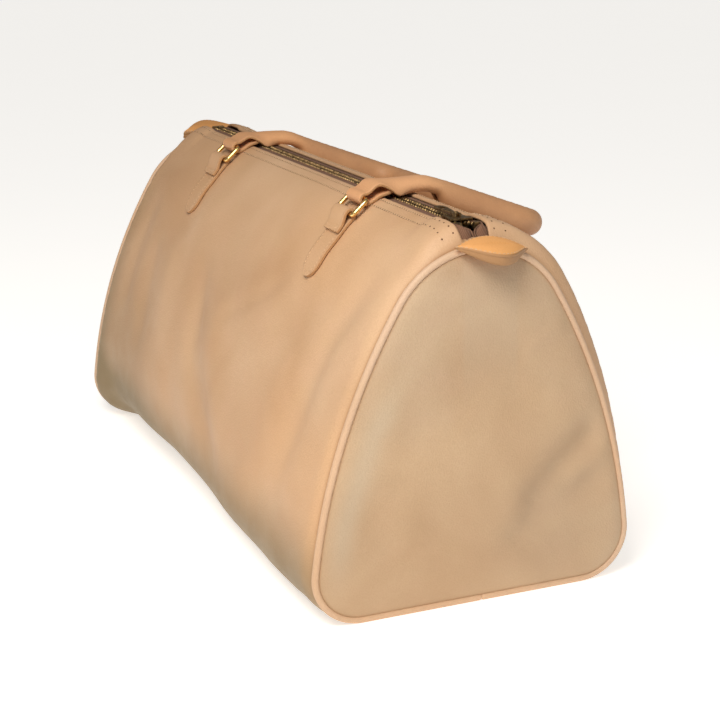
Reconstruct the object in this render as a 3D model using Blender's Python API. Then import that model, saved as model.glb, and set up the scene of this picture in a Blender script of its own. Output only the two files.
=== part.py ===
"""Leather holdall with a rounded triangular section and two rolled handles.

The origin is the middle of the base, on the floor. X runs along the bag, the front
panel faces -Y and +Z is up. Lengths are in metres and angles in degrees.
"""

import math

import bmesh
import bpy
import numpy as np

# Bag body
bag_length = 0.442
bag_height = 0.210
base_width = 0.201
corner_radius = 0.0295
apex_radius = 0.0574
side_radius = 0.366
leather = 0.0022
seat_gap = 0.0003

# Fullness of the wrap beyond the end panels, and how its shoulders sink
crown_puff = 0.0118
front_side_puff = 0.0030
rear_side_puff = 0.0070
crown_start = 0.005
crown_end = 0.046
puff_run = 0.0100
rear_sink = 0.0092
sink_start = 0.010
sink_full = 0.030
sink_release = 0.074
sink_end = 0.112
sink_past_handle = 0.0850
sink_fade = 0.060
tuck_depth = 0.0105
tuck_above = 0.045
tuck_under = 0.012
tuck_start = 0.020
tuck_stop = 0.150
tuck_fade = 0.220

# Piping and end panels
piping_radius = 0.0027
piping_proud = 0.0015
panel_dome = 0.0050

# Zip
slot_half_width = 0.0095
slot_end_margin = 0.0090
zip_raise = 0.0006
tape_thickness = 0.0008
hem_slack = 0.0006
tooth_pitch = 0.0031
tooth_width = 0.0016
tooth_length = 0.0024
tooth_height = 0.0032
bead_width = 0.0012
row_half_gap = 0.0008
row_spread = 0.0030
zip_end_clearance = 0.0015
mouth_length = 0.0165
stop_length = 0.0030
stop_height = 0.0042

# Slider and its pull
slider_end_margin = 0.0155
slider_length = 0.0140
slider_plate = 0.0011
slider_flange = 0.0011
slider_flare = 0.0017
post_width = 0.0010
post_length = 0.0040
bar_radius = 0.00055
eye_wall = 0.00065
eye_clearance = 0.00015
ear_thickness = 0.0009
eye_width = 0.0020
pull_length = 0.0240
pull_width = 0.0065
pull_thickness = 0.0010

# Zip-end tabs
tab_length = 0.0460
tab_depth = 0.0225
tab_thickness = 0.0036
tab_inset = 0.0025
right_tab_shift = 0.0055
left_tab_shift = 0.0020
right_tab_slope = 18.0
right_tab_lift = -0.0007
left_tab_slope = -14.0
left_tab_lift = 0.0007
tab_edge_round = 0.0010
tab_outer_share = 0.78
tab_inner_share = 0.22
tab_point_share = 1.2

# Straps, rings and chapes
handle_half_span = 0.110
strap_width = 0.0200
strap_leather = 0.0022
wire_radius = 0.0015
ring_pitch = 0.0128
ring_side_clearance = 0.0010
ring_corner = 0.0026
front_bar_run = 0.0332
rear_bar_run = 0.0680
chape_length = 0.0470
chape_front_length = 0.0240
chape_close_length = 0.0090
chape_tip_length = 0.0120
front_ring_lean = 42.0
rear_ring_lean = -22.0

# Rolled handles
handle_radius = 0.0085
handle_wrap_angle = 352.0
strap_lift = 0.0068
strap_eye_length = 0.0120
strap_tail_length = 0.0180
strap_flat_length = 0.0540
strap_level_length = 0.0420
roll_length = 0.0360
leg_length = 0.0900
leg_bend = 20.4
leg_bend_radius = 0.0300
arch_corner_radius = 0.0200
core_gap = 0.0005
front_handle_lean = 0.0
rear_handle_lean = -45.0

# Base stiffener
board_thickness = 0.0020
board_end_margin = 0.0120
board_side_margin = 0.0150

# Facets
apex_steps = 11
side_steps = 8
corner_steps = 5
wire_sides = 8
piping_sides = 8
smooth_angle = 40.0
flat_share = 0.002
tip_end_share = 0.2
small_overrun = 0.0010

for old in list(bpy.data.objects):
    bpy.data.objects.remove(old)


def make_material(name, colour, roughness, metallic=0.0):
    material = bpy.data.materials.new(name)
    material.use_nodes = True
    shader = material.node_tree.nodes["Principled BSDF"]
    shader.inputs["Base Color"].default_value = (*colour, 1.0)
    shader.inputs["Roughness"].default_value = roughness
    shader.inputs["Metallic"].default_value = metallic
    return material


tan_leather = make_material("tan_leather", (0.74, 0.50, 0.29), 0.55)
edge_leather = make_material("edge_leather", (0.66, 0.38, 0.17), 0.5)
tape_cloth = make_material("tape_cloth", (0.42, 0.30, 0.22), 0.9)
old_brass = make_material("old_brass", (0.45, 0.30, 0.12), 0.35, 1.0)
bright_brass = make_material("bright_brass", (0.86, 0.60, 0.24), 0.25, 1.0)
rope_cotton = make_material("rope_cotton", (0.70, 0.64, 0.52), 0.95)
grey_board = make_material("grey_board", (0.30, 0.26, 0.22), 0.9)


def smooth_step(share):
    share = min(max(share, 0.0), 1.0)
    return share * share * (3.0 - 2.0 * share)


def add_object(name, mesh, material, location=(0.0, 0.0, 0.0), turn=0.0, parent=None):
    """Link a mesh as an object, turned about X and placed from its parent's axis."""
    if not mesh.materials:
        mesh.materials.append(material)
    obj = bpy.data.objects.new(name, mesh)
    bpy.context.scene.collection.objects.link(obj)
    obj.location = location
    obj.rotation_euler.x = math.radians(turn)
    obj.parent = parent
    return obj


def make_mesh(name, points, faces):
    """Build a smooth-shaded mesh with its faces turned outwards."""
    mesh = bpy.data.meshes.new(name)
    shape = bmesh.new()
    corners = [shape.verts.new(tuple(point)) for point in points]
    for face in faces:
        shape.faces.new([corners[index] for index in face])
    bmesh.ops.recalc_face_normals(shape, faces=shape.faces)
    shape.to_mesh(mesh)
    shape.free()
    mesh.shade_smooth()
    mesh.set_sharp_from_angle(angle=math.radians(smooth_angle))
    return mesh


def thick_mesh(name, outer, inner, faces):
    """Close the space between two matching point sets, with walls at the open edges."""
    count = len(outer)
    solid = [tuple(face) for face in faces]
    solid += [tuple(count + index for index in reversed(face)) for face in faces]
    edges = {(a, b) for face in faces for a, b in zip(face, face[1:] + face[:1])}
    for a, b in sorted(edges):
        if (b, a) not in edges:
            solid.append((b, a, count + a, count + b))
    return make_mesh(name, list(outer) + list(inner), solid)


def grid_faces(rows, columns, closed=False, skip=lambda row, column: False):
    """Quads of a grid of points, which may close on itself along its columns."""
    faces = []
    for row in range(rows - 1):
        for column in range(columns if closed else columns - 1):
            if skip(row, column):
                continue
            after = (column + 1) % columns
            faces.append((row * columns + column, row * columns + after,
                          (row + 1) * columns + after, (row + 1) * columns + column))
    return faces


def prism_mesh(name, outline, low, high):
    """Extrude an outline in the XY plane from one height to another."""
    count = len(outline)
    points = [(x, y, low) for x, y in outline] + [(x, y, high) for x, y in outline]
    faces = [tuple(range(count)), tuple(range(2 * count - 1, count - 1, -1))]
    faces += [(i, (i + 1) % count, count + (i + 1) % count, count + i) for i in range(count)]
    return make_mesh(name, points, faces)


def cylinder_mesh(name, radius, width, sides=12):
    """A cylinder along Y, about the origin."""
    angles = [2.0 * math.pi * step / sides for step in range(sides)]
    ends = (-width / 2, width / 2)
    points = [(radius * math.cos(a), y, radius * math.sin(a)) for y in ends for a in angles]
    faces = [tuple(range(sides)), tuple(range(2 * sides - 1, sides - 1, -1))]
    faces += [(i, (i + 1) % sides, sides + (i + 1) % sides, sides + i) for i in range(sides)]
    return make_mesh(name, points, faces)


def box_mesh(name, low, high):
    outline = [(low[0], low[1]), (high[0], low[1]), (high[0], high[1]), (low[0], high[1])]
    return prism_mesh(name, outline, low[2], high[2])


def loop_tube_mesh(name, centres, outward, across, radius, sides):
    """A closed tube whose section lies in the outward and across directions."""
    points = []
    for centre, out in zip(centres, outward):
        for step in range(sides):
            angle = 2.0 * math.pi * step / sides
            points.append(centre + radius * (math.cos(angle) * out + math.sin(angle) * across))
    rows = len(centres)
    faces = []
    for row in range(rows):
        following = (row + 1) % rows
        for side in range(sides):
            after = (side + 1) % sides
            faces.append((row * sides + side, row * sides + after,
                          following * sides + after, following * sides + side))
    return make_mesh(name, points, faces)


def cut(target, mesh, location, operation="DIFFERENCE"):
    """Cut a mesh from an object, or join it on, with a Boolean on a hidden helper."""
    helper = add_object(f"{target.name}_{operation.lower()}_{len(target.modifiers)}", mesh,
                        old_brass, location)
    helper.hide_render = True
    helper.display_type = "WIRE"
    boolean = target.modifiers.new(helper.name, "BOOLEAN")
    boolean.solver = "EXACT"
    boolean.operation = operation
    boolean.object = helper


# Section outline: apex arc, side arc, corner arc and half the base, on the front side
apex_centre = np.array([0.0, bag_height - apex_radius])
corner_centre = np.array([base_width / 2 - corner_radius, corner_radius])


def side_arc_centre():
    """Centre of the arc that touches the apex and corner arcs from outside them."""
    to_corner = corner_centre - apex_centre
    span = np.linalg.norm(to_corner)
    from_apex = side_radius - apex_radius
    from_corner = side_radius - corner_radius
    along = (from_apex ** 2 - from_corner ** 2 + span ** 2) / (2 * span)
    aside = math.sqrt(from_apex ** 2 - along ** 2)
    unit = to_corner / span
    return apex_centre + along * unit + aside * np.array([unit[1], -unit[0]])


side_centre = side_arc_centre()


def lean_of(vector):
    """Angle of a direction from straight up, towards the side."""
    return math.atan2(vector[0], vector[1])


apex_lean = lean_of(apex_centre - side_centre)
corner_lean = lean_of(corner_centre - side_centre)
apex_run = apex_radius * apex_lean
side_run = apex_run + side_radius * (corner_lean - apex_lean)
corner_run = side_run + corner_radius * (math.pi - corner_lean)
base_run = corner_run + corner_centre[0]


def outline_at(run):
    """Point and outward direction at a distance along the end outline from its apex."""
    if run <= apex_run:
        lean, centre, radius = run / apex_radius, apex_centre, apex_radius
    elif run <= side_run:
        lean = apex_lean + (run - apex_run) / side_radius
        centre, radius = side_centre, side_radius
    elif run <= corner_run:
        lean = corner_lean + (run - side_run) / corner_radius
        centre, radius = corner_centre, corner_radius
    else:
        left = base_run - run
        return np.array([left, 0.0]), np.array([0.0, -1.0])
    out = np.array([math.sin(lean), math.cos(lean)])
    return centre + radius * out, out


def off_base(run):
    """Share that is 0 on the flat base and 1 on the sides and top."""
    return smooth_step((corner_run - run) / (corner_run - side_run))


def tuck_at(x, run):
    """How far the soft lower corner falls back from the end outline."""
    peak = (side_run + corner_run) / 2
    above = smooth_step((run - side_run + tuck_above) / (peak - side_run + tuck_above))
    under = smooth_step((corner_run + tuck_under - run) / (corner_run + tuck_under - peak))
    starts = smooth_step((wrap_half_length + x) / tuck_start)
    return tuck_depth * above * under * starts * smooth_step((tuck_stop - x) / tuck_fade)


def puff_at(x, run, rear):
    """How far the wrap's outside stands beyond the end outline."""
    side_puff = rear_side_puff if rear else front_side_puff
    from_end = (wrap_half_length - abs(x)) / puff_run
    rise = 1.0 - (1.0 - min(max(from_end, 0.0), 1.0)) ** 2
    start, end = (apex_run, side_run) if rear else (crown_start, crown_end)
    high = smooth_step((end - run) / (end - start))
    puff = rise * off_base(run) * (side_puff + (crown_puff - side_puff) * high)
    along = smooth_step((sink_reach - abs(x)) / sink_fade)
    down = smooth_step((run - sink_start) / (sink_full - sink_start))
    up = smooth_step((sink_end - run) / (sink_end - sink_release))
    shoulder = rear_sink * along * down * up if rear else 0.0
    return puff - shoulder - tuck_at(x, run)


def wrap_point(x, run, rear, height=0.0):
    """Point of the wrap's outside, or above it, on the front or the rear side."""
    point, out = outline_at(run)
    place = point + (puff_at(x, run, rear) + height) * out
    return np.array([x, place[0] if rear else -place[0], place[1]])


wrap_half_length = bag_length / 2 - piping_radius - seat_gap
slot_half_length = wrap_half_length - slot_end_margin
zip_half_length = slot_half_length - zip_end_clearance
slider_place = zip_half_length - slider_end_margin
sink_reach = handle_half_span + sink_past_handle
crown_radius = apex_radius + crown_puff
slot_run = apex_radius * math.asin(slot_half_width / crown_radius)


def outline_runs():
    """Distances along half the outline, from the apex to the middle of the base."""
    apex_part = np.linspace(slot_run, apex_run, apex_steps)
    side_part = np.linspace(apex_run, side_run, side_steps + 1)[1:]
    corner_part = np.linspace(side_run, corner_run, corner_steps + 1)[1:]
    base_part = np.array([corner_run + tuck_under, base_run])
    return np.concatenate([[0.0], apex_part, side_part, corner_part, base_part])


half_runs = outline_runs()
whole_loop = [(run, False) for run in half_runs] + [(run, True) for run in half_runs[-2:0:-1]]


def wrap_stations():
    """Places along X, close together where the wrap swells behind the piping."""
    end_shares = (0.0, 0.12, 0.3, 0.6)
    ends = [wrap_half_length - share * puff_run for share in end_shares]
    middle = np.linspace(0.0, sink_reach, 7)[1:]
    half = sorted(list(middle) + [slot_half_length] + ends)
    return [-x for x in reversed(half)] + [0.0] + half


def make_wrap():
    """Front panel, base and rear panel in one hide, with the slot for the zip."""
    stations = wrap_stations()
    outer = [wrap_point(x, run, rear) for x in stations for run, rear in whole_loop]
    inner = [wrap_point(x, run, rear, -leather) for x in stations for run, rear in whole_loop]
    last = len(whole_loop) - 1

    def in_slot(row, column):
        inside = max(abs(stations[row]), abs(stations[row + 1])) <= slot_half_length
        return inside and column in (0, last)

    faces = grid_faces(len(stations), len(whole_loop), closed=True, skip=in_slot)
    add_object("body_wrap", thick_mesh("body_wrap", outer, inner, faces), tan_leather)


def end_loop(offset, base_lift):
    """Outline of an end piece, moved outwards and lifted off the floor."""
    points, ways = [], []
    for run, rear in whole_loop:
        point, out = outline_at(run)
        place = point + offset * off_base(run) * out + base_lift * (1.0 - off_base(run)) * -out
        sign = 1.0 if rear else -1.0
        points.append(np.array([0.0, sign * place[0], place[1]]))
        ways.append(np.array([0.0, sign * out[0], out[1]]))
    return points, ways


def make_piping(side, x):
    centres, ways = end_loop(piping_proud - piping_radius, piping_radius)
    centres = [centre + np.array([x, 0.0, 0.0]) for centre in centres]
    across = np.array([1.0, 0.0, 0.0])
    mesh = loop_tube_mesh("piping", centres, ways, across, piping_radius, piping_sides)
    add_object(f"piping_{side}", mesh, tan_leather)


def make_end_panel(side, sign):
    """Slightly domed leather end, inside its piping."""
    inset = 2 * piping_radius - piping_proud + seat_gap
    rim, _ = end_loop(-inset, 2 * piping_radius + seat_gap)
    middle = sum(rim) / len(rim)
    ring_shares = (1.0, 0.86, 0.64, 0.38, 0.14)
    outer, inner = [], []
    for share in ring_shares:
        dome = panel_dome * (1.0 - share ** 2) ** 2
        for point in rim:
            flat = middle + share * (point - middle)
            outer.append(flat + np.array([sign * (bag_length / 2 + leather / 2 + dome), 0.0, 0.0]))
            inner.append(flat + np.array([sign * (bag_length / 2 - leather / 2 + dome), 0.0, 0.0]))
    faces = grid_faces(len(ring_shares), len(rim), closed=True)
    first = (len(ring_shares) - 1) * len(rim)
    faces.append(tuple(range(first, first + len(rim))))
    mesh = thick_mesh("end_panel", outer, inner, faces)
    add_object(f"end_panel_{side}", mesh, tan_leather)


# Zip
hem_under = apex_centre[1] + math.sqrt((crown_radius - leather) ** 2 - slot_half_width ** 2)
zip_height = hem_under - seat_gap - tape_thickness / 2 + zip_raise
chain_half_width = row_half_gap + tooth_length + bead_width


def zip_stations():
    """Places along the zip, close together where its rows part."""
    reach = zip_half_length - mouth_length
    inside = [x for x in wrap_stations() if abs(x) < reach]
    open_end = list(np.linspace(reach, zip_half_length, 9))
    return [-zip_half_length, -reach] + inside + open_end


def row_shift(x):
    """How far a row of teeth has parted from the closed line at a place along X."""
    start = zip_half_length - mouth_length
    return row_spread * smooth_step((x - start) / mouth_length)


def make_teeth(side, sign):
    """One row of teeth on its bead, as a comb, parted at the open end."""
    reach = zip_half_length - stop_length - seat_gap
    count = int(2 * reach / tooth_pitch) - 1
    start = -reach + (tooth_pitch / 4 if sign < 0 else -tooth_pitch / 4) + tooth_pitch / 2
    tips, roots = [], []
    for index in range(count):
        left = start + index * tooth_pitch
        right = left + tooth_width
        near = row_half_gap + row_shift((left + right) / 2)
        deep = near + tooth_length
        tips += [(left, deep), (left, near), (right, near), (right, deep)]
    places = [x for x in zip_stations() if tips[0][0] < x < tips[-1][0]]
    for x in [tips[-1][0]] + places[::-1] + [tips[0][0]]:
        roots.append((x, chain_half_width + row_shift(x)))
    outline = [(x, sign * y) for x, y in tips + roots]
    low = zip_height - tooth_height / 2
    mesh = prism_mesh("teeth", outline, low, low + tooth_height)
    add_object(f"zip_teeth_{side}", mesh, old_brass)


def make_tape(side, sign):
    """Cloth tape from under the hem to the bead of its row of teeth."""
    stations = zip_stations()
    flat_edge = slot_half_width - leather / 2
    hidden_runs = (half_runs[1], (half_runs[1] + half_runs[2]) / 2, half_runs[2])
    outer, inner = [], []
    for x in stations:
        bead = chain_half_width + row_shift(x) + seat_gap
        for share in (0.0, 0.5, 1.0):
            y = bead + share * (flat_edge - bead)
            outer.append((x, sign * y, zip_height + tape_thickness / 2))
            inner.append((x, sign * y, zip_height - tape_thickness / 2))
        for run in hidden_runs:
            under = -leather - seat_gap - hem_slack
            outer.append(wrap_point(x, run, sign > 0, under))
            inner.append(wrap_point(x, run, sign > 0, under - tape_thickness))
    mesh = thick_mesh("tape", outer, inner, grid_faces(len(stations), 6))
    add_object(f"zip_tape_{side}", mesh, tape_cloth)


def make_stops():
    """A metal stop on each row at the open end, and one across both at the other."""
    low, high = zip_height - stop_height / 2, zip_height + stop_height / 2
    for side, sign in (("front", -1.0), ("rear", 1.0)):
        shift = row_shift(zip_half_length)
        edges = sorted((sign * (row_half_gap + shift), sign * (chain_half_width + shift)))
        mesh = box_mesh("top_stop", (zip_half_length - stop_length, edges[0], low),
                        (zip_half_length, edges[1], high))
        add_object(f"zip_top_stop_{side}", mesh, old_brass)
    mesh = box_mesh("bottom_stop", (-zip_half_length, -chain_half_width, low),
                    (stop_length - zip_half_length, chain_half_width, high))
    add_object("zip_bottom_stop", mesh, old_brass)


channel_half_height = tooth_height / 2 + seat_gap
slider_half_height = channel_half_height + slider_plate
eye_radius = bar_radius + eye_clearance + eye_wall
pull_axis_height = zip_height + slider_half_height + eye_radius + eye_clearance


def taper(half_width, shares):
    """Outline of a slider layer, wider at its open end, mirrored about X."""
    edge = [(place * slider_length, half_width + flare * slider_flare) for place, flare in shares]
    return edge + [(x, -y) for x, y in reversed(edge)]


def make_slider():
    """Two plates joined by the post between the rows, with ears for the pull's bar."""
    channel = chain_half_width + seat_gap
    outside_shares = ((-0.5, -0.55), (-0.42, 0.0), (0.1, 0.0), (0.42, 1.0), (0.5, 0.7))
    channel_shares = ((-0.6, 0.0), (0.0, 0.0), (0.42, 0.95), (0.6, 1.3))
    body = prism_mesh("slider", taper(channel + slider_flange, outside_shares),
                      -slider_half_height, slider_half_height)
    axis = (slider_place, 0.0, zip_height)
    slider = add_object("zip_slider", body, old_brass, axis)
    half_post = post_width / 2
    post_end = slider_length / 2 - slider_plate
    post_start = post_end - post_length
    upper = [point for point in taper(channel, channel_shares) if point[1] > 0]
    front_x = upper[-1][0]
    notch = [(front_x, half_post), (post_end, half_post), (post_start, half_post)]
    way = upper + notch + [(x, -y) for x, y in reversed(upper + notch)]
    cut(slider, prism_mesh("channel", way, -channel_half_height, channel_half_height), axis)
    mouth = box_mesh("mouth", (post_end, -half_post - seat_gap, -channel_half_height),
                     (front_x, half_post + seat_gap, channel_half_height))
    cut(slider, mouth, axis)
    slot_half_height = tape_thickness / 2 + 2 * seat_gap
    reach = channel + slider_flange + slider_flare + small_overrun
    for sign in (-1.0, 1.0):
        edges = sorted((sign * (channel - slider_flange), sign * reach))
        slot = box_mesh("tape_slot", (-slider_length, edges[0], -slot_half_height),
                        (slider_length, edges[1], slot_half_height))
        cut(slider, slot, axis)
    top = slider_half_height
    bar_height = pull_axis_height - zip_height
    for sign in (-1.0, 1.0):
        inside = eye_width / 2 + eye_clearance
        edges = sorted((sign * inside, sign * (inside + ear_thickness)))
        ear = box_mesh("ear", (-2 * eye_radius, edges[0], top - slider_plate / 2),
                       (2 * eye_radius, edges[1], bar_height + bar_radius))
        cut(slider, ear, axis, "UNION")
    bar = cylinder_mesh("bar", bar_radius, eye_width + 2 * eye_clearance + ear_thickness)
    cut(slider, bar, (slider_place, 0.0, pull_axis_height), "UNION")


def make_pull():
    """Flat pull with a long slot, whose eye turns on the slider's bar."""
    half = pull_width / 2
    plate_shares = ((-1.0, 0.35), (-0.94, 0.8), (-0.82, 1.0), (-0.62, 0.95), (-0.3, 0.55),
                    (-0.1, 0.307), (0.0, 0.307))
    edge = [(x * pull_length, y * half) for x, y in plate_shares]
    outline = edge + [(x, -y) for x, y in reversed(edge)]
    axis = (slider_place, 0.0, pull_axis_height)
    mesh = prism_mesh("pull", outline, -pull_thickness / 2, pull_thickness / 2)
    pull = add_object("zip_pull", mesh, old_brass, axis)
    cut(pull, cylinder_mesh("eye", eye_radius, eye_width), axis, "UNION")
    bore = cylinder_mesh("bore", bar_radius + eye_clearance, 2 * eye_width)
    cut(pull, bore, axis)
    slot_shares = ((-0.86, 0.3), (-0.82, 0.5), (-0.62, 0.5), (-0.58, 0.3))
    edge = [(x * pull_length, y * half) for x, y in slot_shares]
    outline = edge + [(x, -y) for x, y in reversed(edge)]
    cut(pull, prism_mesh("slot", outline, -pull_thickness, pull_thickness), axis)


def make_tab(side, sign, shift, slope, lift):
    """Leaf-shaped leather tab over the piping at a zip end."""
    half = tab_length / 2
    outer_shares = [math.sin(math.pi * step / 10) for step in range(11)]
    outline = []
    for step, share in enumerate(outer_shares):
        outer_edge = tab_depth * share ** tab_point_share * tab_outer_share
        outline.append((outer_edge, half * (step / 5 - 1)))
    for step in range(9, 0, -1):
        inner_edge = -tab_depth * outer_shares[step] * tab_inner_share
        outline.append((inner_edge, half * (step / 5 - 1)))
    mesh = prism_mesh("tab", outline, 0.0, tab_thickness)
    piping_top = bag_height + piping_proud
    tab = add_object(f"zip_end_tab_{side}", mesh, edge_leather,
                     (sign * (bag_length / 2 + tab_inset), shift, piping_top + seat_gap + lift))
    tab.rotation_euler = (0.0, math.radians(slope), 0.0 if sign > 0 else math.pi)
    bevel = tab.modifiers.new("edge_round", "BEVEL")
    bevel.width = tab_edge_round
    bevel.segments = 2
    bevel.limit_method = "ANGLE"


# Chapes, rings and handles
loop_radius = wire_radius + seat_gap + strap_leather


def surface_track(rear):
    """Points and outward directions down a panel, by length, at a handle's end."""
    runs = np.linspace(0.0, side_run, 120)
    points = np.array([wrap_point(handle_half_span, run, rear)[1:] for run in runs])
    steps = np.linalg.norm(np.diff(points, axis=0), axis=1)
    lengths = np.concatenate([[0.0], np.cumsum(steps)])
    slopes = np.gradient(points, lengths, axis=0)
    ways = np.stack([-slopes[:, 1], slopes[:, 0]], axis=1) * (1.0 if rear else -1.0)
    return lengths, points, ways / np.linalg.norm(ways, axis=1, keepdims=True)


def on_track(track, length, height):
    """Place at a length down a panel and a height above its leather."""
    lengths, points, ways = track
    point = np.array([np.interp(length, lengths, points[:, axis]) for axis in (0, 1)])
    way = np.array([np.interp(length, lengths, ways[:, axis]) for axis in (0, 1)])
    return point + height * way / np.linalg.norm(way)


def half_turn(centre, radius, start, steps):
    """Points of half a circle, turning clockwise from a start angle."""
    angles = [math.radians(start) - math.pi * step / steps for step in range(steps + 1)]
    return [(centre[0] + radius * math.cos(a), centre[1] + radius * math.sin(a)) for a in angles]


def side_ways(path):
    """Mitred direction square to a path at each of its points, on its left."""
    steps = np.diff(np.array(path), axis=0)
    steps = steps / np.linalg.norm(steps, axis=1, keepdims=True)
    before = np.vstack([steps[:1], steps])
    after = np.vstack([steps, steps[-1:]])
    middle = before + after
    middle = middle / np.linalg.norm(middle, axis=1, keepdims=True)
    mitre = np.sum(middle * after, axis=1, keepdims=True)
    return np.stack([-middle[:, 1], middle[:, 0]], axis=1) / mitre


def make_chape_mesh(name, rear, bar_run):
    """Strap sewn to a panel by its long back layer and folded round a ring's bar."""
    track = surface_track(rear)
    middle = strap_leather / 2
    bar_height = seat_gap + loop_radius
    fold_radius = loop_radius - middle
    back = seat_gap + middle
    tip_shares = (1.0, 0.97, 0.88, 0.7, 0.45, 0.2, 0.0)
    path = [(bar_run + chape_length - (1.0 - share) * chape_tip_length, back)
            for share in tip_shares]
    widths = [max(math.sqrt(1.0 - share ** 2), tip_end_share) for share in tip_shares]
    straight = [(bar_run + share * (chape_length - chape_tip_length), back)
                for share in (0.8, 0.6, 0.4, 0.2)]
    fold = half_turn((bar_run, bar_height), fold_radius, -90.0, 8)
    front = back + strap_leather + seat_gap
    top = bar_height + fold_radius
    close = [(bar_run + share * chape_close_length,
              top + (front - top) * smooth_step(share)) for share in (0.25, 0.5, 0.75, 1.0)]
    end = [(bar_run + chape_close_length + share * (chape_front_length - chape_close_length), front)
           for share in (0.33, 0.67, 1.0)]
    path += straight + fold + close + end
    widths += [1.0] * (len(path) - len(widths))
    ways = side_ways(path)
    origin = on_track(track, bar_run, 0.0)
    up = (on_track(track, bar_run, bar_height) - origin) / bar_height
    down = np.array([up[1], -up[0]]) * (1.0 if rear else -1.0)
    outer, inner = [], []
    for (length, height), way, share in zip(path, ways, widths):
        for points, aside in ((outer, middle), (inner, -middle)):
            along, above = length + aside * way[0], height + aside * way[1]
            fitted = smooth_step((along - bar_run - wire_radius) / chape_close_length)
            rigid = origin + (along - bar_run) * down + above * up
            place = rigid + fitted * (on_track(track, along, above) - rigid)
            for sign in (-1.0, 1.0):
                points.append((sign * share * strap_width / 2, place[0], place[1]))
    return thick_mesh(name, outer, inner, grid_faces(len(path), 2))


def bar_place(rear, bar_run):
    """Centre of a ring's bar in its chape, at a handle's end."""
    place = on_track(surface_track(rear), bar_run, seat_gap + loop_radius)
    return np.array([0.0, place[0], place[1]])


def make_ring_mesh():
    """Rounded rectangular ring, lying along +Y from the bar held by its chape."""
    half_width = strap_width / 2 + ring_side_clearance + wire_radius
    half_pitch = ring_pitch / 2
    corners = ((1, 1, 0), (-1, 1, 90), (-1, -1, 180), (1, -1, 270))
    centres, ways = [], []
    for across, along, start in corners:
        for step in range(5):
            angle = math.radians(start + 90 * step / 4)
            way = np.array([math.cos(angle), math.sin(angle), 0.0])
            corner = np.array([across * (half_width - ring_corner),
                               half_pitch + along * (half_pitch - ring_corner), 0.0])
            centres.append(corner + ring_corner * way)
            ways.append(way)
    up = np.array([0.0, 0.0, 1.0])
    return loop_tube_mesh("strap_ring", centres, ways, up, wire_radius, wire_sides)


def strap_profile():
    """Outer face of the right strap from its tail, round the ring, to the leg.

    Points are (along, up) from the ring's bar, which is the handle's joint axis.
    """
    tail_height = strap_lift - 2 * strap_leather - seat_gap
    path = [(strap_tail_length, tail_height)]
    shares = (1.0, 0.75, 0.5, 0.25)
    path += [(share * strap_eye_length,
              -loop_radius + (tail_height + loop_radius) * smooth_step(share))
             for share in shares]
    path += half_turn((0.0, 0.0), loop_radius, -90.0, 8)
    path += [(share * strap_eye_length,
              loop_radius + (strap_lift - loop_radius) * smooth_step(share))
             for share in reversed(shares)]
    return path


def handle_stations():
    """Places, directions, outward ways and roll of the leather, to mid-arch."""
    side = np.array([1.0, 0.0, 0.0])
    start = handle_half_span * side
    profile = strap_profile()
    ways = side_ways(profile)
    stations = []
    for (along, up), way in zip(profile, ways):
        forward = np.array([0.0, way[1], -way[0]])
        stations.append((start + np.array([0.0, along, up]), forward,
                         np.array([0.0, way[0], way[1]]), 0.0))
    bend_run = leg_bend_radius * math.tan(math.radians(leg_bend / 2))
    bend_start = strap_level_length - bend_run
    roll_start = strap_flat_length - roll_length / 2
    for share in (0.35, 0.7):
        along = strap_eye_length + share * (bend_start - strap_eye_length)
        stations.append((start + np.array([0.0, along, strap_lift]), np.array([0.0, 1.0, 0.0]),
                         np.array([0.0, 0.0, 1.0]), (along - roll_start) / roll_length))
    for step in range(4):
        turned = math.radians(leg_bend * step / 3)
        along = bend_start + leg_bend_radius * math.sin(turned)
        up = strap_lift - leg_bend_radius * (1.0 - math.cos(turned))
        passed = bend_start + leg_bend_radius * turned
        stations.append((start + np.array([0.0, along, up]),
                         np.array([0.0, math.cos(turned), -math.sin(turned)]),
                         np.array([0.0, math.sin(turned), math.cos(turned)]),
                         (passed - roll_start) / roll_length))
    place, forward, up_way, _ = stations[-1]
    straight = leg_length - bend_run - arch_corner_radius
    for share in (0.08, 0.16, 0.24, 0.32, 0.4, 0.7, 1.0):
        passed = bend_start + leg_bend_radius * math.radians(leg_bend) + share * straight
        stations.append((place + share * straight * forward, forward, up_way,
                         (passed - roll_start) / roll_length))
    centre = place + straight * forward - arch_corner_radius * side
    for step in range(1, 6):
        turned = math.radians(90 * step / 5)
        out = math.cos(turned) * side + math.sin(turned) * forward
        stations.append((centre + arch_corner_radius * out,
                         -math.sin(turned) * side + math.cos(turned) * forward, up_way, 1.0))
    return stations


def whole_handle_stations():
    """Both halves of the handle, from one strap's tail to the other's."""
    half = handle_stations()
    mirror = np.array([-1.0, 1.0, 1.0])
    back = [(place * mirror, -forward * mirror, up_way, roll)
            for place, forward, up_way, roll in reversed(half)]
    return half + back


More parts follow.
